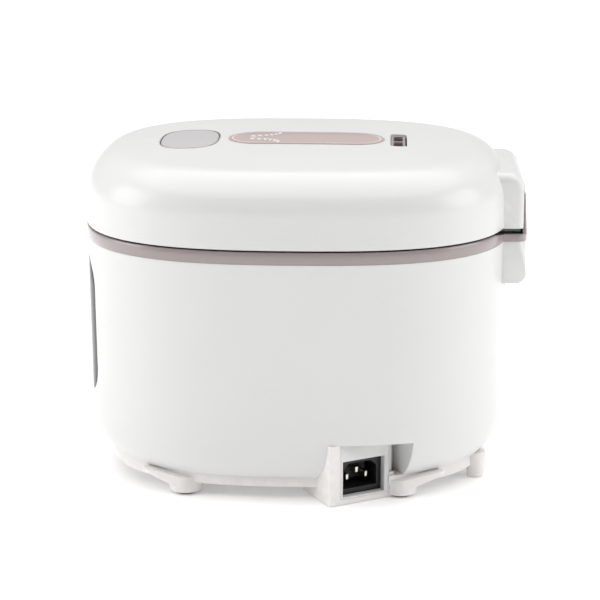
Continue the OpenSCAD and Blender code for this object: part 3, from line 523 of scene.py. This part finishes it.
def refined(node, width, steps):
    """A CAD node's copy, its triangles merged into clean faces and its edges broken."""
    copy = frame["nodes"][node].copy()
    copy.data = frame["nodes"][node].data.copy()
    copy.parent = None
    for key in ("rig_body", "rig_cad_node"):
        if key in copy:
            del copy[key]
    bpy.context.scene.collection.objects.link(copy)
    take(copy)
    bpy.ops.object.mode_set(mode="EDIT")
    bpy.ops.mesh.select_all(action="SELECT")
    bpy.ops.mesh.remove_doubles(threshold=2e-6)
    if node != "rim_frame":  # its flat top runs round the mouth and has to stay in pieces
        bpy.ops.mesh.dissolve_limited(angle_limit=math.radians(0.6))
    close()
    if copy.data.attributes.get("sharp_edge"):
        copy.data.attributes.remove(copy.data.attributes["sharp_edge"])
    if width:
        soften(copy, width, steps)
    return copy


def oval_outline(half_x, half_y, count):
    """Points evenly spaced along the oval, round the origin."""
    fine, turns = [], 2880
    for i in range(turns + 1):
        c, s = math.cos(math.tau * i / turns), math.sin(math.tau * i / turns)
        fine.append((half_x * math.copysign(abs(c) ** (2 / OVAL), c),
                     half_y * math.copysign(abs(s) ** (2 / OVAL), s)))
    run = [0.0]
    for a, b in zip(fine, fine[1:]):
        run.append(run[-1] + math.dist(a, b))
    points, k = [], 0
    for i in range(count):
        goal = run[-1] * i / count
        while run[k + 1] < goal:
            k += 1
        t = (goal - run[k]) / (run[k + 1] - run[k])
        points.append(tuple(fine[k][j] + t * (fine[k + 1][j] - fine[k][j]) for j in (0, 1)))
    return points


def ring_stack(rings, count=144, loop=False, x=0.0, circles=False):
    """A surface through ovals or circles, each (half_x, half_y, z), drawn out ring by ring from the first.

    A loop joins its last ring to its first. Otherwise both ends are closed.
    """
    clear_selection()
    half_x, half_y, z = rings[0]
    bpy.ops.mesh.primitive_circle_add(vertices=count, radius=half_x * MM, location=place(x, 0, z))
    piece = settle(bpy.context.object)
    if not circles:
        for vertex, (u, v) in zip(piece.data.vertices, oval_outline(half_x, half_y, count)):
            vertex.co.x, vertex.co.y = (x + MIDDLE + u) * MM, v * MM
    bpy.ops.object.mode_set(mode="EDIT")
    bpy.ops.mesh.select_all(action="SELECT")
    if not loop:
        bpy.ops.mesh.edge_face_add()
        bpy.ops.mesh.select_all(action="SELECT")
    for (x0, y0, z0), (x1, y1, z1) in zip(rings, rings[1:] + (rings[:1] if loop else [])):
        move = {"value": (0, 0, (z1 - z0) * MM)}
        if loop:
            bpy.ops.mesh.extrude_edges_move(TRANSFORM_OT_translate=move)
        else:
            bpy.ops.mesh.extrude_region_move(TRANSFORM_OT_translate=move)
        bpy.ops.transform.resize(value=(x1 / x0, y1 / y0, 1), center_override=place(x, 0, z1))
    bpy.ops.mesh.select_all(action="SELECT")
    bpy.ops.mesh.remove_doubles(threshold=1e-6)
    bpy.ops.mesh.normals_make_consistent(inside=False)
    close()
    return piece


def crown_height(x, y):
    """Height of the lid's crown over a point."""
    q = ((abs(x) / CROWN_A) ** OVAL + (abs(y) / CROWN_B) ** OVAL) ** (1 / OVAL)
    return CROWN_EDGE + CROWN_RISE * (1 - min(q, 1) ** 2)


def lay_on_crown(piece):
    """Bends a piece, drawn with heights from zero, over the lid's crown."""
    for vertex in piece.data.vertices:
        spot = spot_of(vertex.co)
        vertex.co.z += crown_height(spot.x, spot.y) * MM
    return piece


def wall_inset(z):
    """How far the body's wall stands in from the band at a height."""
    return 0.4 + DRAFT * (SHELL_TOP - z)


def front_at(y, z):
    """Where the body's front lies at a sideways place and a height."""
    inset = wall_inset(z)
    return -(HALF_LENGTH - inset) * (1 - (abs(y) / (HALF_WIDTH - inset)) ** OVAL) ** (1 / OVAL)


def lay_on_front(piece):
    """Bends a piece, drawn with depths from zero, over the body's front."""
    for vertex in piece.data.vertices:
        vertex.co.x += front_at(vertex.co.y / MM, vertex.co.z / MM) * MM
    return piece


def to_inlet(piece):
    """Turns a piece drawn along the inlet's face, from its front corner, into place."""
    piece.rotation_euler.z = INLET_TURN
    piece.location = place(INLET_CORNER[0], INLET_CORNER[1], 0)
    return settle(piece)


def finish(piece, name, body, slot, replaced=(), smooth=35, material=None):
    """Names a finished piece, gives it its finish and lets it ride on a body."""
    settle(piece)
    if smooth:
        bpy.ops.object.shade_smooth_by_angle(angle=math.radians(smooth))
    piece.name = name
    piece.data.name = name
    piece.data.materials.clear()
    piece.data.materials.append(material or FINISH[slot])
    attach(piece, body)
    if replaced:
        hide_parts(*replaced)
    return piece


# ---------------------------------------------------------------- outer forms
def inset_oval(inset, z):
    """The body's oval, drawn in, at a height."""
    return (HALF_LENGTH - inset, HALF_WIDTH - inset, z)


def lid_side(depth, steps):
    """Rings of the lid's side, shoulder and crown, set in by depth."""
    rings = [inset_oval(LEAN * (z - LID_BOTTOM) + depth, z) for z in (171.5, 175, 179, 183, 186, 189)]
    for i in range(1, steps + 1):
        t = math.radians(86) * i / steps
        rings.append(inset_oval(SHOULDER_LEAN + depth + (SHOULDER_R - depth) * (1 - math.cos(t)),
                                SHOULDER_Z + (SHOULDER_R - depth) * math.sin(t)))
    for s in (0.97, 0.93, 0.88, 0.8, 0.7, 0.58, 0.44, 0.3, 0.16, 0.04):  # in to the crown's middle
        rings.append((CROWN_A * s, CROWN_B * s, CROWN_EDGE - depth + CROWN_RISE * (1 - s * s)))
    return rings


def body_side(depth, end=56):
    """Rings of the body's side from the band down, set in by depth, and of its lower edge up to an angle."""
    rings = [inset_oval(wall_inset(z) + depth, z) for z in (160, 155, 145, 130, 115, 100, 85, 70, 58, 50)]
    steps = 18
    for i in range(steps + 1):
        t = math.radians(end) * i / steps
        rings.append(inset_oval(wall_inset(TUCK_Z) + depth + (TUCK_IN - depth) * (1 - math.cos(t)),
                                TUCK_Z - (TUCK_UP - depth) * math.sin(t)))
    return rings


def panel_form(grow):
    """A block with the panel's outline, drawn out by grow."""
    form = block((-160, -100), (-PANEL_WIDTH / 2 - grow, PANEL_WIDTH / 2 + grow),
                 (PANEL_Z - PANEL_HEIGHT / 2 - grow, PANEL_Z + PANEL_HEIGHT / 2 + grow))
    return round_edges(form, lambda a, b: abs(a.x - b.x) > 1, PANEL_R + grow, 16)


def niche_form(grow, low, high):
    """A block with the niche's plan, beside the inlet, drawn out by grow."""
    form = block((0, NICHE_WIDTH + grow), (-60, NICHE_DEPTH + grow), (low, high), middle=0)
    round_edges(form, lambda a, b: abs(a.z - b.z) > 1 and a.x > 50 and a.y > 0, NICHE_R + grow, 12, middle=0)
    return to_inlet(form)


def foot_form(x, y):
    """Room for a foot's round boss, drawn out to a leaf-shaped tip towards the end of the body."""
    boss = peg(x, y, 11.2, (0, 12.2))
    tip = peg(x + math.copysign(24, x), y, 4.2, (0, 16.2))
    form = join(boss, tip)
    pick(form, "VERT", lambda a: True)
    bpy.ops.mesh.convex_hull()
    close()
    return form


def cover_shape(grow):
    """The hinge cover's outer form, with a wide round at its upper back edge and softer ones down its sides."""
    form = block((122 - grow, COVER_BACK + grow), (-HINGE_HALF - grow, HINGE_HALF + grow),
                 (COVER_BOTTOM - 1 - grow, COVER_TOP + grow))
    round_edges(form, lambda a, b: min(a.x, b.x) > COVER_BACK - 3 and min(a.z, b.z) > COVER_TOP - 3,
                12 + grow, 16)
    round_edges(form, lambda a, b: min(abs(a.y), abs(b.y)) > HINGE_HALF - 3 and a.y * b.y > 0
                and max(a.z, b.z) > COVER_BOTTOM + 5 and max(a.x, b.x) > 123, 5.5 + grow, 8)
    return form


# ---------------------------------------------------------------- lid
def make_lid_shell():
    """The lid's outer shell, with openings for button, steam cap and hinge cover."""
    rim = [inset_oval(2.4, LID_BOTTOM + 0.4), inset_oval(2.0, LID_BOTTOM), inset_oval(0.6, LID_BOTTOM),
           inset_oval(0.25, LID_BOTTOM + 0.12), inset_oval(0.05, LID_BOTTOM + 0.6)]
    lid = ring_stack(lid_side(LID_WALL, 8)[::-1] + rim + lid_side(0, 20))
    half_x, half_y = (half + BUTTON_RIM for half in BUTTON_HALF)
    combine(lid, ring_stack([(half_x, half_y, 195), (half_x, half_y, 230)], 96, x=BUTTON_X))
    slot = block((CAP_X - CAP_LENGTH / 2 - 0.3, CAP_X + CAP_LENGTH / 2 + CAP_NOTCH + 0.3),
                 (-CAP_WIDTH / 2 - 0.3, CAP_WIDTH / 2 + 0.3), (200, 230))
    round_edges(slot, lambda a, b: abs(a.z - b.z) > 1, 2.5, 6)
    combine(lid, slot)
    combine(lid, cover_shape(0.02))
    return finish(lid, "lid_shell_moulding", "lid", "shell_plastic", ["lid_shell"])


def make_hinge_cover():
    """The cover over the hinge, open at the back, and below only in its rear half."""
    cover = cover_shape(0)
    inside = cover_shape(-2.2)
    combine(cover, inside)
    combine(cover, block((100, 160), (-60, 60), (150, COVER_BOTTOM)))
    combine(cover, block((140, 160), (-42.8, 42.8), (150, PLATE_TOP + PLATE_GAP)))
    soften(cover, 0.35, 3)
    return finish(cover, "hinge_cover_moulding", "lid", "shell_plastic", ["hinge_cover"])


# ---------------------------------------------------------------- body
def make_body_shell():
    """The body's shell with its panel opening, inlet, niche, hinge opening, and room for legs and feet."""
    body = ring_stack(body_side(0)[::-1])
    hollow = ring_stack(body_side(SHELL_WALL, 75)[::-1] + [inset_oval(SHELL_WALL + 0.4, 162)])
    wall = niche_form(2, 0, INLET_TOP + 2)
    combine(wall, to_inlet(block((-60, 27), (-80, 80), (-1, 60), middle=0)))
    combine(wall, to_inlet(block((17, INLET_WIDTH + 0.1), (-40, 40), (-1, INLET_TOP), middle=0)))
    combine(hollow, wall)
    combine(body, hollow)
    combine(body, panel_form(0.2))
    combine(body, to_inlet(block((-0.1, INLET_WIDTH + 0.1), (-60, 47), (-1, INLET_TOP + 0.1), middle=0)))
    combine(body, niche_form(0, -1, INLET_TOP + 0.1))
    combine(body, block((100, 160), (-HINGE_HALF - 0.05, HINGE_HALF + 0.05), (HOUSING_BOTTOM, 162)))
    for y in (-48, 48):  # rear legs
        combine(body, peg(120, y, 6.8, (0, 17.75)))
    for x in (-FOOT_X, FOOT_X):
        for y in (-FOOT_Y, FOOT_Y):
            combine(body, foot_form(x, y))
    return finish(body, "body_shell_moulding", "base", "shell_plastic", ["outer_shell"])


def make_rear_housing():
    """The housing below the hinge, open above and towards the body."""
    housing = block((126, HOUSING_BACK), (-HINGE_HALF, HINGE_HALF), (HOUSING_BOTTOM, SHELL_TOP))
    round_edges(housing, lambda a, b: min(a.x, b.x) > HOUSING_BACK - 1
                and max(a.z, b.z) < HOUSING_BOTTOM + 1, 7, 12)
    round_edges(housing, lambda a, b: min(abs(a.y), abs(b.y)) > HINGE_HALF - 0.1 and a.y * b.y > 0
                and abs(a.z - b.z) > 5 and min(a.x, b.x) > HOUSING_BACK - 1, 6.5, 10)
    combine(housing, block((120, HOUSING_BACK - 4), (2.5 - HINGE_HALF, HINGE_HALF - 2.5),
                           (HOUSING_BOTTOM + 2.5, SHELL_TOP + 1)))
    soften(housing, 0.3, 2)
    return finish(housing, "rear_housing_moulding", "base", "shell_plastic", ["rear_housing"])


def make_trim_band():
    """The band round the rim, sloping down to the shelf and upright plate behind the hinge."""
    low, high = SHELL_TOP + 0.1, BAND_TOP
    band = ring_stack([inset_oval(0.5, low), inset_oval(0.15, low + 0.15), inset_oval(0, low + 0.5),
                       inset_oval(0, 164), inset_oval(0, high - 0.7), inset_oval(0.2, high - 0.2),
                       inset_oval(0.7, high), inset_oval(2.0, high), inset_oval(2.4, high - 0.4),
                       inset_oval(2.4, low)], loop=True)
    slope_top, slope_foot = 67.33, 46
    slope = block((100, 160), (-slope_top, slope_top), (HINGE_BAND_TOP, BAND_TOP + 1))
    pick(slope, "FACE", lambda c, n: n.z < -0.9)
    bpy.ops.transform.resize(value=(1, slope_foot / slope_top, 1),
                             center_override=(0, 0, HINGE_BAND_TOP * MM))
    close()
    combine(band, slope)
    combine(band, block((100, 160), (-HINGE_HALF + 0.5, HINGE_HALF - 0.5), (150, 175)))
    shelf = block((131, HINGE_BACK), (-HINGE_HALF, HINGE_HALF), (low, HINGE_BAND_TOP))
    round_edges(shelf, lambda a, b: abs(a.z - b.z) > 1 and a.x > 140, 7, 12)
    combine(shelf, block((120, HINGE_BACK - 2.2), (-HINGE_HALF + 2.2, HINGE_HALF - 2.2), (150, 175)))
    plate = block((HINGE_BACK - 2.9, HINGE_BACK - 0.1), (-42, 42), (HINGE_BAND_TOP - 1, PLATE_TOP))
    pick(plate, "FACE", lambda c, n: n.z > 0.9)
    bpy.ops.transform.resize(value=(0.55, 1, 1), center_override=place(HINGE_BACK - 2.9, 0, PLATE_TOP))
    close()
    round_edges(plate, lambda a, b: abs(a.z - b.z) > 5 and min(a.x, b.x) > HINGE_BACK - 1.6, 1.2, 4)
    round_edges(plate, lambda a, b: min(a.z, b.z) > PLATE_TOP - 0.1 and min(a.x, b.x) > HINGE_BACK - 2,
                0.9, 4)
    combine(shelf, plate, "UNION")
    combine(band, shelf, "UNION")
    soften(band, 0.25, 2, 40)
    return finish(band, "trim_band_moulding", "base", "trim_plastic", ["trim_band"])


make_lid_shell()
make_hinge_cover()
make_body_shell()
make_rear_housing()
make_trim_band()


# ---------------------------------------------------------------- lid fittings
def make_button():
    """The oval button, with a rounded edge and a low dome that follow the crown."""
    a, b = BUTTON_HALF
    edge, dome, skirt = 0.9, 1.5, -8
    rings = [(a - 1.5, b - 1.5, skirt), (a, b, skirt), (a, b, -0.6)]
    for i in range(1, 7):
        t = math.radians(90 * i / 6)
        draw_in = edge * (1 - math.cos(t))
        rings.append((a - draw_in, b - draw_in, -0.6 + edge * math.sin(t)))
    for s in (0.9, 0.78, 0.62, 0.44, 0.26, 0.1, 0.02):
        rings.append((a * s, b * s, 0.35 + dome * (1 - s * s)))
    button = lay_on_crown(ring_stack(rings, 96, x=BUTTON_X))
    return finish(button, "lid_button", "button", "button_plastic", ["release_button"])


def make_button_bezel():
    """The thin rim round the button."""
    a, b = BUTTON_HALF
    section = ((BUTTON_RIM, -6), (BUTTON_RIM, 0.0), (1.05, 0.16), (0.92, 0.28), (0.75, 0.3), (0.58, 0.25),
               (0.46, 0.1), (0.42, -0.1), (0.4, -6))
    rings = [(a + grow, b + grow, z) for grow, z in section]
    bezel = lay_on_crown(ring_stack(rings, 96, loop=True, x=BUTTON_X))
    return finish(bezel, "button_surround", "lid", "trim_plastic", ["button_bezel"])


def pill(length, width, z):
    """A flat pill-shaped ring of edges round the label's middle."""
    clear_selection()
    bpy.ops.mesh.primitive_circle_add(vertices=96, radius=width / 2 * MM, location=place(LABEL_X, 0, z))
    outline = settle(bpy.context.object)
    for side in (-1, 1):
        pick(outline, "VERT", lambda a: (a.x - LABEL_X) * side > 0.01)
        bpy.ops.transform.translate(value=(side * (length - width) / 2 * MM, 0, 0))
        close()
    return outline


def make_label():
    """The pill-shaped plate on the crown."""
    label = pill(LABEL_LENGTH, LABEL_WIDTH, 0.12)
    pick(label, "VERT", lambda a: True)
    bpy.ops.mesh.edge_face_add()
    bpy.ops.mesh.extrude_region_move(TRANSFORM_OT_translate={"value": (0, 0, 0.38 * MM)})
    close()
    round_edges(label, lambda a, b: min(a.z, b.z) > 0.4, 0.25, 3)
    pick(label, "FACE", lambda c, n: n.z > 0.9 and abs(c.x - LABEL_X) < 1)
    for inset in (1.5, 3, 4, 5, 5):  # edges that let it bend across
        bpy.ops.mesh.inset(thickness=inset * MM)
    close()
    slice_along(label)
    lay_on_crown(label)
    return finish(label, "label_plate_inlay", "lid", "label_plastic", ["label_plate"], smooth=50)


def slice_along(piece):
    """Crosses a long flat piece with edges every 3 mm, so that it can bend along its length."""
    for along in range(-60, 61, 3):
        pick(piece, "VERT", lambda a: True)
        bpy.ops.mesh.bisect(plane_co=place(LABEL_X + along, 0, 0), plane_no=(1, 0, 0))
        close()


def ink_outline(length, width, line):
    """A thin pill-shaped line."""
    outer = pill(length, width, 0.5)
    pick(outer, "VERT", lambda a: True)
    bpy.ops.mesh.edge_face_add()
    bpy.ops.mesh.inset(thickness=line * MM)
    bpy.ops.mesh.delete(type="FACE")
    close()
    return thicken(outer, PRINT, 1)


def grain_of_rice(x, y, turn, length, width):
    """A flat oval grain."""
    clear_selection()
    bpy.ops.mesh.primitive_circle_add(vertices=16, radius=length / 2 * MM, location=place(x, y, 0.5),
                                      fill_type="NGON")
    grain = bpy.context.object
    bpy.ops.object.mode_set(mode="EDIT")
    bpy.ops.transform.resize(value=(1, width / length, 1), center_override=place(x, y, 0.5))
    bpy.ops.mesh.extrude_region_move(TRANSFORM_OT_translate={"value": (0, 0, PRINT * MM)})
    close()
    grain.rotation_euler.z = turn
    return settle(grain)


def make_label_print():
    """White keyline and two bowed ears of rice at the front end."""
    keyline = ink_outline(LABEL_LENGTH - 5, LABEL_WIDTH - 5, 0.5)
    slice_along(keyline)
    marks = [keyline]
    for side in (-1, 1):
        for k in range(7):
            bow = math.radians(18 + 11 * k)
            x = LABEL_X - 44 + 26 * math.sin(bow)
            y = side * (3.2 + 11.5 * (1 - math.cos(bow)) * 1.1)
            lean, shorter, thinner = side * bow * 0.9, 0.25 * k, 0.1 * k
            marks.append(grain_of_rice(x, y + side * 1.7, lean + side * 0.6, 4.6 - shorter, 1.9 - thinner))
            marks.append(grain_of_rice(x + 0.6, y - side * 1.2, lean - side * 0.45, 4.2 - shorter,
                                       1.7 - thinner))
    print_ = lay_on_crown(join(*marks))
    return finish(print_, "label_print", "lid", "label_plastic", smooth=0, material=WHITE_INK)


def make_steam_cap():
    """The lift-out cap, a splash cup below two windows, and the slats seen through them."""
    top = CROWN_EDGE + 1
    half_x, half_y = CAP_LENGTH / 2, CAP_WIDTH / 2
    wall, bar, margin = 1.2, 1.8, 2.8
    cap = block((CAP_X - half_x, CAP_X + half_x), (-half_y, half_y), (top - 40, top))
    round_edges(cap, lambda a, b: abs(a.z - b.z) > 1, 2, 6)
    combine(cap, block((CAP_X - half_x + wall, CAP_X + half_x - wall), (-half_y + wall, half_y - wall),
                       (top - 38.5, top - 4.5)))
    wide = (CAP_WIDTH - 2 * margin - bar) / 2
    for side in (-1, 1):
        middle = side * (CAP_WIDTH - 2 * margin + bar) / 4
        window = block((CAP_X - 3, CAP_X + 3), (middle - wide / 2, middle + wide / 2), (top - 10, top + 5))
        round_edges(window, lambda a, b: abs(a.z - b.z) > 1, 1.2, 5)
        combine(cap, window)
    soften(cap, 0.35, 3)
    finish(cap, "steam_cap_frame", "steam_cap", "trim_plastic", ["steam_cap"])
    slats = []
    for k in range(11):
        y = -17 + 3.4 * k
        slats.append(block((CAP_X - 3.6, CAP_X + 3.6), (y - 0.7, y + 0.7), (top - 9.2, top - 7.7)))
    grille = join(*slats)
    soften(grille, 0.2, 2)
    return finish(grille, "steam_cap_grille", "steam_cap", "dark_plastic")


make_button()
make_button_bezel()
make_label()
make_label_print()
make_steam_cap()


# ---------------------------------------------------------------- control panel
def make_panel_lens():
    """The smoked window, curved with the body's front."""
    between = (130, 115, 100, 85, 70, 58, 47)
    lens = ring_stack([inset_oval(wall_inset(z), z) for z in (146, *between, 43)], 288)
    combine(lens, panel_form(0), "INTERSECT")
    back = ring_stack([inset_oval(wall_inset(z) + 2.4, z) for z in (150, *between, 40)], 288)
    combine(lens, back)
    soften(lens, 0.4, 3)
    return finish(lens, "panel_glass", "base", "smoked_glass", ["panel_lens"])


def panel_mark(z, parts, name, material):
    """Joins thin parts into one print on the panel's face, round a height."""
    mark = join(*parts)
    mark.location = (0, 0, z * MM)
    settle(mark)
    lay_on_front(mark)
    return finish(mark, name, "base", "smoked_glass", smooth=0, material=material)


def stroke(y, z):
    """A thin flat bar between pairs of limits."""
    return block((-0.05, 0.02), y, z)


def digit(value, y):
    """The lit bars of a seven-bar figure."""
    lit = {0: "abcdef", 1: "bc", 3: "abgcd"}[value]
    h, w, line, gap = 7.5, 3.8, 1.5, 0.35
    across, upper, lower = (-w + gap, w - gap), (gap, h - gap), (-h + gap, -gap)
    bars = {"a": (across, (h - line, h)), "g": (across, (-line / 2, line / 2)), "d": (across, (-h, -h + line)),
            "f": ((w - line, w), upper), "b": ((-w, -w + line), upper),
            "e": ((w - line, w), lower), "c": ((-w, -w + line), lower)}
    return [stroke((y + a[0], y + a[1]), b) for a, b in (bars[k] for k in lit)]


def ring_mark(y, z, r, line):
    """A thin ring round a key."""
    clear_selection()
    bpy.ops.mesh.primitive_circle_add(vertices=40, radius=r * MM, location=(MIDDLE * MM, y * MM, z * MM),
                                      rotation=(0, -math.pi / 2, 0), fill_type="NGON")
    ring = settle(bpy.context.object)
    bpy.ops.object.mode_set(mode="EDIT")
    bpy.ops.mesh.select_all(action="SELECT")
    bpy.ops.mesh.inset(thickness=line * MM)
    bpy.ops.mesh.delete(type="FACE")
    close()
    return thicken(ring, 0.06, 0)


def make_panel_marks():
    """A lit time, six ringed keys with plain signs, and the display's border."""
    figures = digit(0, 17) + digit(1, 6) + digit(3, -8) + digit(0, -18.5)
    figures += [stroke((-1.6, 0.0), (2.2, 3.8)), stroke((-1.6, 0.0), (-3.8, -2.2))]
    panel_mark(PANEL_Z + 20.5, figures, "display_figures", LIT_SEGMENT)
    rings = [ring_mark(y, z, 6.2, 0.45) for y in (-24, 0, 24) for z in (-12, -30)]
    plus = [stroke((-27, -21), (-12.4, -11.6)), stroke((-24.4, -23.6), (-15, -9))]
    minus = [stroke((21, 27), (-12.4, -11.6))]
    pause = [stroke((-2.4, -1.2), (-14.6, -9.4)), stroke((1.2, 2.4), (-14.6, -9.4))]
    lines = [stroke((-26.2, -21.8), z) for z in ((-30.4, -29.6), (-32, -31.2), (-28.8, -28))]
    stop = [stroke((21.8, 26.2), (-32.2, -27.8))]
    cross = [stroke((-0.5, 0.5), (-33, -27)), stroke((-3, 3), (-30.5, -29.5))]
    panel_mark(PANEL_Z, rings + plus + minus + pause + lines + stop + cross, "key_marks", GREY_INK)
    side, low, high, line = 29, 8, 33.35, 0.35
    border = [stroke((-side, side), (low, low + line)), stroke((-side, side), (high - line, high)),
              stroke((-side, -side + line), (low, high)), stroke((side - line, side), (low, high))]
    panel_mark(PANEL_Z, border, "display_border", GREY_INK)


make_panel_lens()
make_panel_marks()

# ---------------------------------------------------------------- base, inlet and the inside
EDGES = {  # CAD nodes shown with broken edges: how wide, and in how many steps
    "base_pan": (0.5, 3), "rim_frame": (0.4, 2), "lid_liner": (0.4, 2),
    "inlet_faceplate": (0.45, 3), "inlet_socket": (0.35, 2), "inlet_pins": (0.35, 2),
    "hinge_bracket": (0.3, 2), "latch_hook": (0.4, 2), "heating_plate": (0.4, 2), "sensor_cap": (0.35, 2),
    "steam_duct": (0.3, 2), "pot_well": (0, 0), "latch_keeper": (0.2, 2), "lid_gasket": (0.4, 3),
    "case_screws": (0.2, 2), "lid_screws": (0.2, 2), "bracket_screws": (0.2, 2), "hinge_pin": (0.3, 2),
}
slot_of = {part["node"]: part["material_slot"] for part in frame["record"]["subparts"]}
body_of = {node: body for body, nodes in frame["record"]["behaviour"]["bodies"].items() for node in nodes}
for node, (width, steps) in EDGES.items():
    finish(refined(node, width, steps), node + "_finished", body_of[node], slot_of[node], [node])


def make_inner_pot():
    """A spun pot with a round corner at the bottom and a flat rolled flange."""
    def corner(radius, degrees):
        turns = [math.radians(t) for t in degrees]
        return [(POT_R - POT_CORNER + radius * math.sin(t), POT_BASE + POT_CORNER - radius * math.cos(t))
                for t in turns]

    inside = corner(POT_CORNER - POT_WALL, range(0, 91, 9))
    outside = corner(POT_CORNER, range(90, -1, -9))
    flange = [(84, 90), (84, 120), (84, 152.6), (84.15, 153.2), (84.5, 153.7), (85.2, 154), (92.2, 154),
              (92.7, 153.8), (93, 153.4), (93, 152.8), (92.7, 152.4), (92.2, 152.2), (87, 152.2),
              (86.3, 151.9), (POT_R, 151.2), (POT_R, 110)]
    floor_inside = [(r, POT_BASE + POT_WALL) for r in (0.5, 20, 45)]
    underside = [(r, POT_BASE) for r in (45, 20, 0.5)]
    section = floor_inside + inside + flange + outside + underside
    pot = ring_stack([(r, r, z) for r, z in section], circles=True)
    return finish(pot, "inner_pot_spun", "pot", "pot_coating", ["inner_pot"])


def make_inner_lid():
    """A spun plate with a lowered rim, its edges rolled, and three steam holes below the steam cap."""
    rolled = 0.25
    corners = [(74, 157.8), (78, 155.4), (81.8, 155.4), (81.8, 158.4), (80.8, 158.4), (80.8, 156.6),
               (78.4, 156.6), (74.4, 159), (8, 159), (7, 163)]
    section = [(r, 157.8) for r in (0.5, 20, 45, 62, 71)]
    for before, corner, after in zip([section[-1]] + corners, corners, corners[1:] + [(0.5, 163)]):
        before, corner, after = Vector(before), Vector(corner), Vector(after)
        into = corner + (before - corner).normalized() * rolled
        out = corner + (after - corner).normalized() * rolled
        section += [tuple(into), tuple((into + out) / 4 + corner / 2), tuple(out)]
    section += [(4, 163), (0.5, 163)]
    lid = ring_stack([(r, r, z) for r, z in section], circles=True)
    for turn in (math.radians(t) for t in (-20, 0, 20)):
        combine(lid, peg(CAP_X * math.cos(turn), CAP_X * math.sin(turn), 2.2, (150, 170), steps=32))
    return finish(lid, "inner_lid_spun", "lid", "lid_metal", ["inner_lid"])


def make_rubber_feet():
    """Four feet, each with a groove moulded in its face."""
    foot = peg(FOOT_X, FOOT_Y, 7.5, (0, 3.4))
    pick(foot, "FACE", lambda c, n: n.z < -0.9)
    for depth in (0.4, -0.4):
        bpy.ops.mesh.inset(thickness=1.2 * MM)
        bpy.ops.mesh.inset(thickness=0.25 * MM)
        bpy.ops.transform.translate(value=(0, 0, depth * MM))
    close()
    soften(foot, 0.45, 3)
    feet = [foot]
    for x, y in ((-1, 1), (1, -1), (-1, -1)):
        other = twin(foot)
        other.location = ((x - 1) * FOOT_X * MM, (y - 1) * FOOT_Y * MM, 0)
        feet.append(settle(other))
    return finish(join(*feet), "rubber_feet_moulded", "base", "foot_rubber", ["rubber_feet"])


make_inner_pot()
make_inner_lid()
make_rubber_feet()
for node, cad in frame["nodes"].items():
    cad.data.materials.clear()
    cad.data.materials.append(FINISH[slot_of[node]])

# ---------------------------------------------------------------- studio
clear_selection()
bpy.ops.mesh.primitive_plane_add(size=12, location=(0, 0, 0))
floor = bpy.context.object
floor.name = "floor"
floor_finish = moulding("floor_white", (0.93, 0.93, 0.93), 0.75, dust=0.0, depth=0.0, variation=0.003)
floor_shader = floor_finish.node_tree.nodes["Principled BSDF"]
floor_shader.inputs["Emission Color"].default_value = (1, 1, 1, 1)
floor_shader.inputs["Emission Strength"].default_value = 0.16  # lifts the floor to plain white
floor.data.materials.append(floor_finish)

scene = bpy.context.scene
scene.view_settings.view_transform = "Standard"
world = bpy.data.worlds.new("studio")
scene.world = world
world.use_nodes = True
backdrop = world.node_tree
towards = chain(backdrop, "ShaderNodeTexCoord").outputs["Generated"]
depth_wise = chain(backdrop, "ShaderNodeSeparateXYZ", {"Vector": towards}).outputs["Y"]
from_behind = remap(backdrop, depth_wise, high=0.5)
from_ahead = remap(backdrop, depth_wise, -1.0, 0.0, 0.05, 0.0)
sky = maths(backdrop, "ADD", from_behind, from_ahead)
backdrop.links.new(sky, backdrop.nodes["Background"].inputs["Strength"])
backdrop.nodes["Background"].inputs["Color"].default_value = (1, 1, 1, 1)


def softbox(name, where, energy):
    """A square light that faces the cooker."""
    light = bpy.data.lights.new(name, "AREA")
    light.energy = energy
    light.size = 1.1
    lamp = bpy.data.objects.new(name, light)
    lamp.location = where
    lamp.rotation_euler = (Vector(where) - AIM).to_track_quat("Z", "Y").to_euler()
    scene.collection.objects.link(lamp)


overhead = bpy.data.lights.new("overhead", "SUN")
overhead.energy = 3.1
overhead.angle = math.radians(90)
scene.collection.objects.link(bpy.data.objects.new("overhead", overhead))
softbox("left_box", (-1.7, -0.3, 0.7), 13.2)
softbox("right_box", (1.7, -0.25, 0.7), 10.8)
